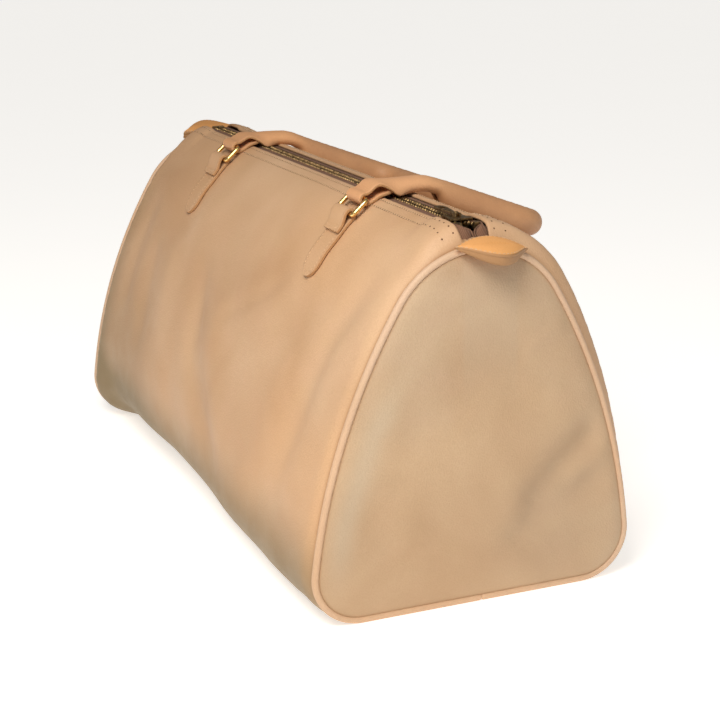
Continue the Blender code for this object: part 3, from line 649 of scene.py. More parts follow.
# %% Hide piece
edge_round, edge_run = 0.0010, 0.0012
hem_runs = slot_run + mm * np.array([0.0, 0.3, 0.7, 1.3, 2.1, 3.2, 4.6])
body_runs = np.linspace(slot_run + 0.0062, base_run, 104)[:-1]
half_runs = np.concatenate([np.linspace(0.0, slot_run, 5)[1:-1], hem_runs, body_runs])
signed_runs = np.concatenate([[0.0], half_runs, [base_run], -half_runs[::-1]])
end_places = hide_half_length - mm * np.array([0.0, 0.6, 1.3, 2.7, 3.8, 5.0, 6.3, 7.7])
inner_places = np.linspace(0.0, hide_half_length - 0.0095, 74)
half_places = np.unique(np.concatenate([inner_places, [slot_half_length], end_places]))
hide_places = np.concatenate([-half_places[:0:-1], half_places])

x_grid, signed_grid = np.meshgrid(hide_places, signed_runs, indexing="ij")
run_grid = np.abs(signed_grid)
cut_near = np.clip(1.0 - (run_grid - slot_run) / edge_run, 0.0, 1.0)
drop_grid = np.where(np.abs(x_grid) <= slot_half_length + 0.0001, edge_round * cut_near ** 2, 0.0)
hide_outer = hide_point(x_grid, signed_grid, -drop_grid)
hide_inner = hide_point(x_grid, signed_grid, -leather_thickness + 0.3 * drop_grid)
over_zip = np.abs(hide_places) <= slot_half_length + 1e-6
in_slot = np.abs(signed_runs) < slot_run - 1e-6


def outside_slot(row, column):
    """Whether a quad of the grid is leather."""
    after = (column + 1) % len(signed_runs)
    return not (over_zip[row] and over_zip[row + 1] and (in_slot[column] or in_slot[after]))


# Each patch of painted shade, darker towards the far end and the lower corner: its
# strength, then in mm where its run starts and over what length it grows, and the same
# for the distance towards the far end
painted_shade_brown_patches = [(0.22, -1, 1, 75, 150), (0.60, 205, 32, -240, 50), (0.22, 70, -60, 190, 25)]
painted_shade_tint_patches = [(0.80, 186, 46, -250, 50), (0.34, 110, 90, 60, 100), (0.38, 30, 60, 185, 30)]
warm_streak, warm_width = [(105, 60), (60, 80), (10, 105), (-30, 130)], 20
seam_wear, hem_wear, base_wear, streak_wear = 0.85, 0.30, 0.10, 0.20
seam_wear_width, hem_wear_width, most_painted_shade_tint = 0.0011, 0.0010, 0.85


def patches_at(patches):
    """Strength of soft patches over the hide's grid."""
    return sum(strength * ease(run_grid, mm * run, mm * run_length)
               * ease(-x_grid, mm * far, mm * far_length)
               for strength, run, run_length, far, far_length in patches)


from_seam = hide_half_length - np.abs(x_grid)
# Darkening from wear at the seams, the hem, the base and along a warm streak, and painted shade
# from the patches
hide_wear_and_shade = (seam_wear * np.exp(-(from_seam / seam_wear_width) ** 2)
                + streak_wear * near_line(x_grid, -signed_grid, warm_streak, warm_width)
                + hem_wear * np.exp(-((run_grid - slot_run) / hem_wear_width) ** 2)
                + base_wear * (1.0 - off_base(run_grid)) + patches_at(painted_shade_brown_patches))
hide_values = {"wear_and_shade": hide_wear_and_shade,
               "shade_and_highlight_tint": np.clip(patches_at(painted_shade_tint_patches), 0.0, most_painted_shade_tint)}
hide_mesh = shell("hide", hide_outer, hide_inner, hide_values, True, outside_slot)
add_piece("hide", hide_mesh, body_leather, "body_wrap")

# %% [markdown]
# ## Piping
#
# Piping is a strip of leather folded round a cord and sewn between two panels. A bevelled
# curve could make it, but a tube of rings can swell and pucker. It follows the end
# outline, a little proud of it. Its ends meet under the bag, which leaves a small notch.

# %% Piping pieces
ends = (("right", 1.0), ("left", -1.0))
piping_proud, piping_sides = 0.0015, 18
notch_depth, notch_width, notch_run = 0.0007, 0.0006, base_run - 0.0040
ripple_depth, piping_wear, inner_wear, inner_wear_angle = 0.00007, 0.06, 0.12, 0.9


def end_loop(offset, base_lift, signed_run):
    """Places on the end outline, moved outwards and lifted off the floor, and their ways."""
    run, side = np.abs(signed_run), np.where(np.asarray(signed_run) > 0.0, 1.0, -1.0)
    y, z, out_y, out_z = outline_at(run)
    shift = offset * off_base(run) - base_lift * (1.0 - off_base(run))
    return (points_of(side * (y + shift * out_y), z + shift * out_z),
            points_of(side * out_y, out_z))


notch_extra = base_run - mm * np.array([2.8, 3.4, 3.7, 4.0, 4.3, 4.6, 5.2])
loop_half = np.linspace(0.0, base_run, 150)
loop_rear = np.unique(np.concatenate([loop_half[1:], notch_extra]))
loop_runs = np.concatenate([[0.0], loop_rear, -loop_half[-2:0:-1]])
loop_places, loop_ways = end_loop(piping_proud - piping_radius, piping_radius, loop_runs)
turns = circle(piping_sides)

for end_name, end in ends:
    bend = off_base(np.abs(loop_runs)) * (0.4 + 0.6 * (np.abs(loop_runs) < apex_run))
    ripple = ripple_depth * np.sin(1300.0 * loop_runs + end) * np.sin(170.0 * loop_runs) * bend
    notch = notch_depth * np.exp(-((loop_runs - notch_run) / notch_width) ** 2)
    radii = (piping_radius + ripple - notch)[:, None]
    outwards = loop_places[:, None] + (radii * np.cos(turns))[..., None] * loop_ways[:, None]
    x = end * bag_length / 2 + radii * np.sin(turns)
    darkening = piping_wear + inner_wear * np.exp(-((turns - np.pi) / inner_wear_angle) ** 2)
    piping_mesh = tube("piping", np.concatenate([x[..., None], outwards], -1),
                       {"wear_and_shade": darkening}, closed=True)
    add_piece(f"{end_name}_piping_cord", piping_mesh, piping_leather,
              f"piping_{end_name}")

# %% [markdown]
# ## End panels
#
# Each end is a flat piece of leather that the contents push into a low dome. It rises
# from the seam in a soft roll beside the piping. A grid of rings, each the outline drawn
# smaller, keeps its edge true. Dents are lines again, as (y, z) points in mm.

# %% End panel pieces
panel_dome, rim_roll, roll_width = 0.0034, 0.0020, 0.0110
panel_wave, rim_still, rim_tuck = 0.0004, 0.012, 0.0004
right_dents = [
    ([(88, 108), (84, 99), (70, 89), (54, 76), (38, 60), (24, 42)], 11, -5.8),
    ([(90, 84), (72, 76), (56, 64)], 6, 1.2),
    ([(96, 74), (88, 68), (62, 56), (28, 38), (10, 24)], 11, -3.6),
    ([(24, 144), (36, 153), (50, 160), (65, 164)], 2.6, 0.6),
    ([(0, 144), (10, 141), (20, 138)], 1.3, -0.4),
    ([(-70, 90), (-60, 50), (-50, 20)], 14, -1.6),
    ([(-28, 150), (-38, 120), (-44, 90)], 14, -1.4),
    ([(-50, 140), (-62, 100), (-72, 60)], 11, 1.0)]
left_dents = [
    ([(-86, 90), (-60, 76), (-38, 56)], 9, -2.6),
    ([(56, 140), (44, 100), (46, 60)], 12, -1.6),
    ([(10, 138), (-10, 130), (-30, 126)], 3, 0.5)]
# Painted light and shade: a painted highlight by the rim of both ends, painted shade over
# a corner of the right one, and a greyer, darker band in the upper middle of the right one
painted_highlight_line, painted_highlight_width = [(-92, 10), (-83, 60), (-66, 110), (-40, 155)], 8
painted_shade_line, painted_shade_width = [(100, 110), (70, 75), (35, 30), (20, 5)], 30
band_left, band_right, band_blur = -0.01425, 0.02475, 0.0045
band_bottom, band_fade = 0.110, 0.055
rim_wear, rim_wear_width, painted_shade_darkening, band_darkening = 0.55, 0.0010, 0.22, 0.16
painted_highlight_tint, painted_shade_tint, band_tint = 0.45, 0.20, 0.26

half_loop = np.linspace(0.0, base_run, 110)
panel_runs = np.concatenate([half_loop, -half_loop[-2:0:-1]])
panel_rim, _ = end_loop(piping_proud + rim_tuck - 2 * piping_radius,
                        2 * piping_radius - rim_tuck, panel_runs)
panel_middle = np.array([0.0, 0.092])
ring_shares = np.concatenate([1.0 - mm * np.array([0, 6, 13, 22, 34]),
                              np.linspace(0.95, 0.02, 34)])[:, None]
across, up = np.moveaxis(
    panel_middle + ring_shares[..., None] * (panel_rim - panel_middle)[None], -1, 0)
rim_gap = (1.0 - ring_shares) * np.linalg.norm(panel_rim - panel_middle, axis=1)
last_ring = (len(ring_shares) - 1) * len(panel_runs)
middle_cap = tuple(range(last_ring, last_ring + len(panel_runs)))

for (end_name, end), dents in zip(ends, (right_dents, left_dents)):
    dome = panel_dome * (1.0 - ring_shares ** 2) ** 2
    roll = rim_roll * (1.0 - np.clip(1.0 - rim_gap / roll_width, 0.0, 1.0) ** 2)
    marks = (drawn(across, up, dents)
             + panel_wave * np.sin(70.0 * across + 1.0) * np.sin(48.0 * up))
    face_x = end * (bag_length / 2 + leather_thickness / 2 + dome + roll
                    + marks * ease(rim_gap, 0.0, rim_still))
    outer, inner = (points_of(x, across, up) for x in (face_x, face_x - end * leather_thickness))
    # The band is greyer and darker; pale is a painted highlight by the rim, and the shade line is
    # painted shade
    band = (between(across, band_left, band_blur, band_right, band_blur)
            * ease(up, band_bottom, band_fade) * (end > 0))
    pale = near_line(across, up, painted_highlight_line, painted_highlight_width)
    painted_shade = near_line(across, up, painted_shade_line, painted_shade_width) * (end > 0)
    wear_and_shade = (rim_wear * np.exp(-(rim_gap / rim_wear_width) ** 2)
               + painted_shade_darkening * painted_shade + band_darkening * band)
    shade_and_highlight_tint = band_tint * band + painted_shade_tint * painted_shade + painted_highlight_tint * pale
    panel_mesh = shell("panel", outer, inner, {"wear_and_shade": wear_and_shade, "shade_and_highlight_tint": shade_and_highlight_tint}, True, None,
                       (middle_cap,))
    add_piece(f"{end_name}_end", panel_mesh, end_leather, f"end_panel_{end_name}")

# %% [markdown]
# ## A Geometry Nodes tree for stitches
#
# Hundreds of stitches could be modelled one by one, or made by an array modifier. A
# Geometry Nodes tree is better here: it takes any line, sets points along it at a fixed
# pitch, and puts a small stitch on each, lying along the line and flat on the leather.
# The line's points carry the direction that faces up.

# %% Stitch tree


def start_tree(name, **kinds):
    """An empty tree with a geometry in and out and named inputs, and points on its line."""
    tree = bpy.data.node_groups.new(name, "GeometryNodeTree")
    for label, kind in {"Geometry": "Geometry", "Pitch": "Float", "Length": "Float",
                        "Width": "Float", "Height": "Float", **kinds,
                        "Material": "Material"}.items():
        tree.interface.new_socket(label, in_out="INPUT", socket_type=f"NodeSocket{kind}")
    tree.interface.new_socket("Geometry", in_out="OUTPUT", socket_type="NodeSocketGeometry")
    given = tree.nodes.new("NodeGroupInput").outputs
    line = add_node(tree, "GeometryNodeMeshToCurve", {"Mesh": given["Geometry"]})
    points = add_node(tree, "GeometryNodeResampleCurve",
                      {"Curve": line, "Length": given["Pitch"]}, mode="LENGTH")
    tangent = add_node(tree, "GeometryNodeInputTangent", {})
    up_way = add_node(tree, "GeometryNodeInputNamedAttribute", {"Name": "up"}, "Attribute",
                      data_type="FLOAT_VECTOR")
    along = add_node(tree, "FunctionNodeAlignRotationToVector", {"Vector": tangent}, axis="X")
    turn = add_node(tree, "FunctionNodeAlignRotationToVector",
                    {"Rotation": along, "Vector": up_way}, axis="Z", pivot_axis="X")
    return tree, given, points, turn


def finish_tree(tree, given, points, shape, turn, x, y):
    """Put a shape on each point, and end with plain geometry and its material."""
    size = add_node(tree, "ShaderNodeCombineXYZ", {"X": x, "Y": y, "Z": given["Height"]})
    placed = add_node(tree, "GeometryNodeInstanceOnPoints", {
        "Points": points, "Instance": shape, "Rotation": turn, "Scale": size})
    real = add_node(tree, "GeometryNodeRealizeInstances", {"Geometry": placed})
    dressed = add_node(tree, "GeometryNodeSetMaterial",
                       {"Geometry": real, "Material": given["Material"]})
    fill(tree, tree.nodes.new("NodeGroupOutput"), {"Geometry": dressed})
    print(tree.name, "has", len(tree.nodes), "nodes")


def make_stitch_tree():
    """Rounded stitches, each a little turned and a little unlike the next."""
    tree, given, points, turn = start_tree("stitches_along_a_line", Slant="Float", Seed="Int")
    jitter = add_node(tree, "FunctionNodeRandomValue",
                      {2: 0.88, 3: 1.10, "Seed": given["Seed"]}, 1, data_type="FLOAT")
    slant = add_node(tree, "ShaderNodeCombineXYZ", {"Z": given["Slant"]})
    turned_stitch = add_node(tree, "FunctionNodeRotateRotation",
                             {"Rotation": turn, "Rotate By": slant}, rotation_space="LOCAL")
    bead = add_node(tree, "GeometryNodeMeshUVSphere", {"Segments": 8, "Rings": 5, "Radius": 0.5})
    finish_tree(tree, given, points, bead, turned_stitch,
                multiply(tree, given["Length"], jitter), given["Width"])
    return tree


def grow(name, tree, lines, settings, stands_for=None, body="bag"):
    """Run a tree over lines, each points and up directions, and keep a plain piece."""
    wires = bpy.data.meshes.new(name)
    points, ways = (np.concatenate(part) for part in zip(*lines))
    breaks = set(np.cumsum([len(line) for line, _ in lines]) - 1)
    wires.from_pydata(points.tolist(), [(index, index + 1) for index in range(len(points))
                                        if index not in breaks], [])
    layer = wires.attributes.new("up", "FLOAT_VECTOR", "POINT")
    layer.data.foreach_set("vector", ways.astype(np.float32).ravel())
    guide = into_scene(f"{name}_guide", wires)
    grower = guide.modifiers.new("grow", "NODES")
    grower.node_group = tree
    for item in tree.interface.items_tree:
        if item.in_out == "INPUT" and item.name in settings:
            grower[item.identifier] = settings[item.name]
    depsgraph = bpy.context.evaluated_depsgraph_get()
    mesh = bpy.data.meshes.new_from_object(guide.evaluated_get(depsgraph), depsgraph=depsgraph)
    guide.modifiers.remove(grower)
    bpy.data.objects.remove(guide)
    mesh.shade_smooth()
    add_piece(name, mesh, None, stands_for, body)


def sizes(pitch, length, width, height, material, **more):
    """Settings of a tree by the names of its inputs."""
    return {"Pitch": pitch, "Length": length, "Width": width, "Height": height,
            "Material": material, **more}


stitch_tree = make_stitch_tree()

# %% [markdown]
# ## Hem stitches
#
# Two rows of stitches hold the tape under each side of the zip. Where the hide rolls
# down at the ends, the thread has sunk in and only the needle's holes show, further
# apart. Holes are made as flat dark beads, painted shade standing for the inside of each
# hole, because a real hole would need a finer hide.

# %% Hem stitches and needle holes
hem_rows, hem_pitch, hem_stitch_end = (0.0111, 0.0163), 0.0029, 0.1945
hole_drifts, hole_end = (0.0, 0.0012), 0.2135
sunk_holes = sizes(0.0048, 0.0012, 0.0011, 0.00028, needle_hole, Slant=0.0, Seed=7)


def line_on_hide(x, signed_run, height):
    """Points above the hide and the directions away from it."""
    x, signed_run = np.broadcast_arrays(np.asarray(x, float), np.asarray(signed_run, float))
    normal = hide_normal(x, signed_run)
    return hide_point(x, signed_run) + height * normal, normal


hem_lines = [line_on_hide(np.linspace(-hem_stitch_end, hem_stitch_end, 160), side * row, 0.00005)
             for side in (-1.0, 1.0) for row in hem_rows]
grow("hem_stitches", stitch_tree, hem_lines,
     sizes(hem_pitch, 0.0021, 0.00078, 0.00070, thread, Slant=0.10, Seed=3))
grow("hem_holes", stitch_tree, hem_lines,
     sizes(hem_pitch / 2, 0.0009, 0.0012, 0.00022, needle_hole, Slant=0.0, Seed=5))
hole_reach = np.linspace(hem_stitch_end + 0.004, hole_end, 12)
hole_lines = [line_on_hide(end * hole_reach, side * (row + drift * ease(hole_reach, 0.2, 0.014)),
                           0.00002)
              for end in (-1.0, 1.0) for side in (-1.0, 1.0)
              for row, drift in zip(hem_rows, hole_drifts)]
grow("end_holes", stitch_tree, hole_lines, sunk_holes)

# %% [markdown]
# ## The tapes of the zip
#
# A zip is two cloth tapes, each with a bead along its edge, and metal teeth clamped on
# the beads. At the open end, past the slider, the rows part and leave a small dark
# mouth. Each tape is a shell on a grid from its bead to the hem, and the bead is a tube.

# %% Tapes and beads
sides = (("front", -1.0), ("rear", 1.0))
tape_thickness, tape_lift = 0.0008, 0.0016
hem_slack = zip_raise = 0.0006
tooth_length, row_half_gap, row_spread = 0.0024, 0.0008, 0.0030
bead_width, bead_sides, bead_flatness = 0.0012, 10, 0.62
zip_half_length, mouth_length = 0.2075, 0.0165
tape_half_length = slot_half_length + 0.0006
closing_length, closed_half_width = 0.0060, 0.0013
hem_under = apex_centre[1] + math.sqrt((crown_radius - leather_thickness) ** 2
                                       - slot_half_width ** 2)
zip_height = hem_under - seat_gap - tape_thickness / 2 + zip_raise
chain_half_width = row_half_gap + tooth_length + bead_width


def parting(x):
    """Share by which the rows have parted at the mouth."""
    return ease(x, zip_half_length - mouth_length, mouth_length)


def bead_reach(x):
    """Distance from the middle line to a tape's edge, which turns in past the stops."""
    closing = ease(np.abs(x), zip_half_length, closing_length)
    return ((chain_half_width + row_spread * parting(x)) * (1.0 - closing)
            + closed_half_width * closing)


zip_places = np.concatenate([np.linspace(-tape_half_length, zip_half_length - mouth_length, 156),
                             np.linspace(zip_half_length - mouth_length, tape_half_length, 36)[1:]])
zip_levels = zip_height - crown_puff * end_round(zip_places)
flat_edge, bead_edge = slot_half_width - leather_thickness / 2, bead_reach(zip_places) + seat_gap
turns = circle(bead_sides)
for side_name, side in sides:
    outer, inner = [], []
    for share in np.linspace(0.0, 1.0, 7):
        y = side * (bead_edge + share * (flat_edge - bead_edge))
        z = zip_levels + tape_lift * parting(zip_places) * math.sin(math.pi * share) ** 1.5
        for points, lift in ((outer, tape_thickness / 2), (inner, -tape_thickness / 2)):
            points.append(points_of(zip_places, y, z + lift))
    for run in slot_run + mm * np.array([0.0, 2.2, 4.7]):
        y, z, out_y, out_z = outline_at(run)
        under = swell_at(zip_places, run, side > 0) - leather_thickness - seat_gap - hem_slack
        for points, lift in ((outer, under), (inner, under - tape_thickness)):
            points.append(points_of(zip_places, side * (y + lift * out_y), z + lift * out_z))
    add_piece(f"{side_name}_tape", shell("tape", np.stack(outer, 1), np.stack(inner, 1)),
              tape_cloth, f"zip_tape_{side_name}")
    middle = side * (bead_reach(zip_places) - bead_width / 2)
    rings = points_of(zip_places[:, None], middle[:, None] + 0.5 * bead_width * np.cos(turns),
                zip_levels[:, None] + bead_flatness * bead_width * np.sin(turns))
    add_piece(f"{side_name}_bead", tube("bead", rings), tape_cloth)

# %% [markdown]
# ## The teeth of the zip
#
# Each tooth is a small brass clamp with a leg on the bead and a head that reaches
# between two teeth of the other row. An array modifier can't follow the parted row, so
# a second tree grows the teeth along a line, half a pitch apart on the two sides.

# %% Teeth
tooth_pitch, tooth_width, tooth_height, tooth_reach = 0.0031, 0.0017, 0.0032, 0.00025
stop_length, stop_gap = 0.0030, 0.0010
# Form, sizes and place of a tooth's leg and head, in tooth lengths
tooth_forms = (("Cylinder", {"Radius": 0.5, "Depth": 0.6}, -0.7),
               ("Cone", {"Radius Top": 0.44, "Radius Bottom": 0.28, "Depth": 0.42}, -0.21))


def make_teeth_tree():
    """Brass teeth: a thick leg on the bead and a narrower head towards the other row."""
    tree, given, points, turn = start_tree("teeth_along_a_row")
    both = tree.nodes.new("GeometryNodeJoinGeometry")
    for kind, form_sizes, shift in tooth_forms:
        form = add_node(tree, f"GeometryNodeMesh{kind}", {"Vertices": 8, **form_sizes})
        fill(tree, both, {"Geometry": add_node(tree, "GeometryNodeTransform", {
            "Geometry": form, "Translation": (0.0, shift, 0.0),
            "Rotation": (math.radians(90.0), 0.0, 0.0)})})
    finish_tree(tree, given, points, both.outputs[0], turn, given["Width"], given["Length"])
    return tree


teeth_tree = make_teeth_tree()
row_end = zip_half_length - stop_length - stop_gap
for side_name, side in sides:
    x = np.linspace(-row_end, row_end - tooth_pitch / 2, 240) + (side > 0) * tooth_pitch / 2
    y = side * (row_half_gap - tooth_reach + row_spread * parting(x))
    line = points_of(x, y, zip_height)[::int(-side)]
    grow(f"{side_name}_teeth", teeth_tree, [(line, points_of(0.0 * x, 0.0, 1.0))],
         sizes(tooth_pitch, tooth_length + tooth_reach, tooth_width, tooth_height,
                            old_brass), f"zip_teeth_{side_name}")

# %% [markdown]
# ## Slider, pull and stops
#
# The slider closes the rows, the pull hangs on its bar, and the stops end the rows.
# The solid model already has the right shapes for these small castings. A cast part has
# no knife edges, so each one is copied, its flat triangles are merged, and a bevel
# rounds its corners.

# %% Slider, pull and stops
dressed_copy("zip_slider", "slider_casting", old_brass, 0.00022, "zip_slider")
dressed_copy("zip_pull", "pull_casting", old_brass, 0.00018, "zip_pull")
for stop in ("zip_top_stop_front", "zip_top_stop_rear", "zip_bottom_stop"):
    dressed_copy(stop, f"{stop}_bar", old_brass, 0.00030)

# %% [markdown]
# ## Zip-end tabs
#
# A leaf of thicker leather covers the seam at each end of the zip. It is two layers
# glued and sewn together, with a groove between them along the edge. A bevelled plate
# would miss the groove, so the leaf's outline is repeated in rings up its edge. The two
# tabs were cut by hand and aren't alike.

# %% Tab pieces
tab_length, tab_depth = 0.0460, 0.0225
tab_outer_share, tab_inner_share, tab_point_share = 0.78, 0.22, 1.2
tab_inset, tab_seam_inset, across_inset = 0.0025, 0.115, np.array([1.0, 0.55])
# Each tab: its place, its slope in degrees, the radius of its bend, and its own form, with painted
# shade that darkens the left tab
tabs = {
    "right": dict(shift=0.0055, slope=18.0, lift=-0.0007, bend=apex_radius + piping_proud,
                  thickness=0.0036, taper=0.75, lip=0.0036, dome=0.0007, darkening=0.0),
    "left": dict(shift=0.0005, slope=-14.0, lift=0.0, bend=0.160,
                 thickness=0.0058, taper=0.0, lip=0.0024, dome=0.0016, darkening=0.45)}
# Each ring of the tab: how far in from its edge and how high, both as shares
tab_rings = [(0.10, 0.00), (0.03, 0.03), (0.0, 0.14), (0.0, 0.40), (0.022, 0.47), (0.022, 0.51),
             (0.0, 0.58), (0.0, 0.82), (0.03, 0.95), (0.09, 1.0), (0.20, 1.0), (0.45, 1.0),
             (0.8, 1.0)]
insets = np.array(tab_rings)[:, :1]
edge_inset, rim_darkening, rim_darkening_width = 0.05, 0.25, 0.12

along = tab_length / 2 * -np.cos(np.pi * np.arange(45) / 44)
leaf = np.cos(np.pi * along / tab_length)
leaf_edge = np.concatenate([
    points_of(tab_depth * leaf ** tab_point_share * tab_outer_share, along),
    points_of(-tab_depth * leaf * tab_inner_share, along)[-2:0:-1]])
leaf_middle = np.array([tab_depth * 0.26, 0.0])
tip_share = (np.abs(leaf_edge[:, 1]) / (tab_length / 2)) ** 4
lip_share = np.clip(leaf_edge[:, 0] / (tab_depth * tab_outer_share), 0.0, 1.0)


def leaf_ring(inset, height):
    """The leaf's outline drawn in by a share, at a height."""
    flat = leaf_edge + inset * (leaf_middle - leaf_edge) * across_inset
    return points_of(*flat.T, height)


def tab_place(points, end, tab):
    """Turn points from the tab's own frame to its place on the bag."""
    turn = (Matrix.Rotation(0.0 if end > 0 else math.pi, 3, "Z")
            @ Matrix.Rotation(math.radians(tab["slope"]), 3, "Y"))
    home = np.array([end * (bag_length / 2 + tab_inset), tab["shift"],
                     bag_height + piping_proud + seat_gap + tab["lift"]])
    placed = points @ np.array(turn).T + home
    placed[..., 2] -= tab["bend"] - np.sqrt(tab["bend"] ** 2 - placed[..., 1] ** 2)
    return placed


for end_name, end in ends:
    tab, rings = tabs[end_name], []
    for inset, rise in tab_rings:
        under = (tab["thickness"] * (1.0 - rise) * (1.0 - tab["taper"] * tip_share)
                 + tab["lip"] * lip_share * max(1.0 - rise / 0.45, 0.0))
        dome = tab["dome"] * (rise >= 1.0) * ease(inset, 0.0, 0.6)
        rings.append(leaf_ring(inset, tab["thickness"] - under + dome))
    darkening = tab["darkening"] + rim_darkening * np.exp(-(insets / rim_darkening_width) ** 2)
    tab_mesh = tube("tab", tab_place(np.stack(rings), end, tab),
                    {"edge": insets < edge_inset, "wear_and_shade": darkening})
    add_piece(f"{end_name}_zip_tab", tab_mesh, tab_leather,
              f"zip_end_tab_{end_name}")
    seam, above = (tab_place(leaf_ring(tab_seam_inset, tab["thickness"] + lift), end, tab)
                   for lift in (0.0001, 0.0011))
    seam, above = (np.concatenate([line, line[:1]]) for line in (seam, above))
    grow(f"{end_name}_tab_stitches", stitch_tree, [(seam, (above - seam) / mm)],
         sizes(0.0026, 0.0019, 0.00055, 0.0005, thread, Slant=0.08, Seed=11))

# %% [markdown]
# ## Laying a strap on the bag
#
# A strap can be bent with modifiers, or laid along a path. Here its path is drawn once,
# as length down the panel and height above it, and a track along the panel turns that
# into places. Its section is a rectangle with soft corners.

# %% Path helpers
strap_width, strap_leather, wire_radius = 0.0200, 0.0022, 0.0015
loop_radius = wire_radius + seat_gap + strap_leather
chape_length, chape_front_length = 0.0440, 0.0130
chape_close_length, chape_tip_length = 0.0090, 0.0120
chape_runs = {"front": 0.0332, "rear": 0.0680}


def unit(ways):
    """Directions made one long."""
    return ways / np.linalg.norm(ways, axis=-1, keepdims=True)


def panel_track(rear):
    """Points and outward directions down a panel, by length, where a strap is sewn."""
    runs = np.linspace(0.0, side_run, 400)
    y, z, out_y, out_z = outline_at(runs)
    lift, side = swell_at(handle_half_span, runs, rear), 1.0 if rear else -1.0
    points = points_of(side * (y + lift * out_y), z + lift * out_z)
    steps = np.linalg.norm(np.diff(points, axis=0), axis=1)
    lengths = np.concatenate([[0.0], np.cumsum(steps)])
    slopes = np.gradient(points, lengths, axis=0)
    return lengths, points, unit(points_of(-slopes[:, 1], slopes[:, 0]) * side)


def on_track(track, length, height):
    """Places at lengths down a panel and heights above it."""
    point, way = (points_of(*(np.interp(length, track[0], row) for row in rows.T))
                  for rows in track[1:])
    return point + np.asarray(height)[..., None] * unit(way)


def half_turn(radius, centre, steps):
    """Half a circle from straight down, round the far side, to straight up."""
    turns = math.radians(-90.0) - np.pi * np.arange(steps + 1) / steps
    return centre + radius * points_of(np.cos(turns), np.sin(turns))


def left_ways(path):
    """Mitred direction on the left of a path at each of its points."""
    steps = unit(np.diff(path, axis=0))
    before, after = np.vstack([steps[:1], steps]), np.vstack([steps, steps[-1:]])
    middle = unit(before + after)
    mitre = np.sum(middle * after, axis=1, keepdims=True)
    return points_of(-middle[:, 1], middle[:, 0]) / mitre


def strap_section(steps=5, rounding=0.0007):
    """Half widths and heights round a strap's section, with soft corners."""
    wide, high = strap_width / 2 - rounding, strap_leather / 2 - rounding
    flat = np.linspace(-1.0, 1.0, 9)[1:-1] * wide
    points = []
    for across, up, start in ((1, -1, -90), (1, 1, 0), (-1, 1, 90), (-1, -1, 180)):
        for turn in np.radians(start + np.linspace(0.0, 90.0, steps)):
            points.append((across * wide + rounding * math.cos(turn),
                           up * high + rounding * math.sin(turn)))
        if across == up:
            points += [(-up * place, up * strap_leather / 2) for place in flat]
    return np.array(points)


section = strap_section()
print("strap section has", len(section), "points")

# %% [markdown]
# ## Chapes
#
# A chape is the short strap that holds a ring. It runs up from a rounded tip, folds
# round the ring's bar and comes back down a little way over itself. Near the bar it
# keeps its own shape, and further down it lies on the panel.

# %% Chape pieces
strap_wear, chape_edge_wear, chape_edge_width = 0.02, 0.36, 0.0006
wear_start, wear_width = 0.0070, 0.0030


def chape_path(bar_run):
    """Length and height of the strap's middle from its tip to its cut end, and its width."""
    back = seat_gap + strap_leather / 2
    front = back + strap_leather + seat_gap
    bar_height, fold_radius = seat_gap + loop_radius, loop_radius - strap_leather / 2
    top = bar_height + fold_radius
    tip_shares = np.sin(np.linspace(np.pi / 2, 0.0, 14))
    close_shares, end_shares = np.linspace(0.08, 1.0, 12), np.linspace(0.15, 1.0, 8)
    free_length = chape_front_length - chape_close_length
    parts = [(chape_length - (1.0 - tip_shares) * chape_tip_length, back),
             (np.linspace(0.92, 0.10, 14) * (chape_length - chape_tip_length), back),
             half_turn(fold_radius, (0.0, bar_height), 18).T,
             (close_shares * chape_close_length, top + (front - top) * ease(close_shares)),
             (chape_close_length + end_shares * free_length, front)]
    path = np.concatenate([points_of(bar_run + along, above) for along, above in parts])
    widths = np.ones(len(path))
    widths[:14] = np.maximum(np.sqrt(1.0 - tip_shares ** 2), 0.16)
    return path, widths


def chape_placer(side_name):
    """A function that lays length and height on the panel, stiff at the ring's bar."""
    rear, bar_run = side_name == "rear", chape_runs[side_name]
    track, bar_height = panel_track(rear), seat_gap + loop_radius
    origin = on_track(track, bar_run, 0.0)
    up = (on_track(track, bar_run, bar_height) - origin) / bar_height
    down = np.array([up[1], -up[0]]) * (1.0 if rear else -1.0)

    def place(along, above):
        fitted = ease(along, bar_run + wire_radius, chape_close_length)[..., None]
        rigid = origin + (along - bar_run)[..., None] * down + above[..., None] * up
        return rigid + fitted * (on_track(track, along, above) - rigid)

    return place


for side_name, _ in sides:
    path, widths = chape_path(chape_runs[side_name])
    along, above = (path[:, axis, None] + section[:, 1] * left_ways(path)[:, axis, None]
                    for axis in (0, 1))
    laid = chape_placer(side_name)(along, above)
    from_middle = np.abs(section[:, 0])
    edge_values = np.tile(ease(from_middle, strap_width / 2 - chape_edge_width, chape_edge_width),
                          (len(path), 1))
    edge_values[:3] = np.maximum(edge_values[:3], np.array([1.0, 0.6, 0.2])[:, None])
    edge_values[-1] = 1.0
    wear_values = strap_wear + chape_edge_wear * ease(from_middle, wear_start, wear_width)
    for end_name, end in ends:
        x = end * handle_half_span + section[:, 0] * widths[:, None]
        mesh = tube("chape", np.concatenate([x[..., None], laid], axis=-1),
                    {"edge": edge_values, "wear_and_shade": wear_values})
        add_piece(f"{side_name}_{end_name}_chape_strap", mesh, body_leather,
                  f"{side_name}_chape_{end_name}")

# %% [markdown]
# ## Rings
#
# Each ring is round wire bent to a rectangle with soft corners. A curve with a round
# bevel would do, but circles of points round its four corners need no conversion.

# %% Ring pieces
ring_pitch, ring_side_clearance, ring_corner, ring_wire_sides = 0.0128, 0.0010, 0.0026, 18
ring_leans = {"front": math.radians(42.0), "rear": math.radians(-22.0)}


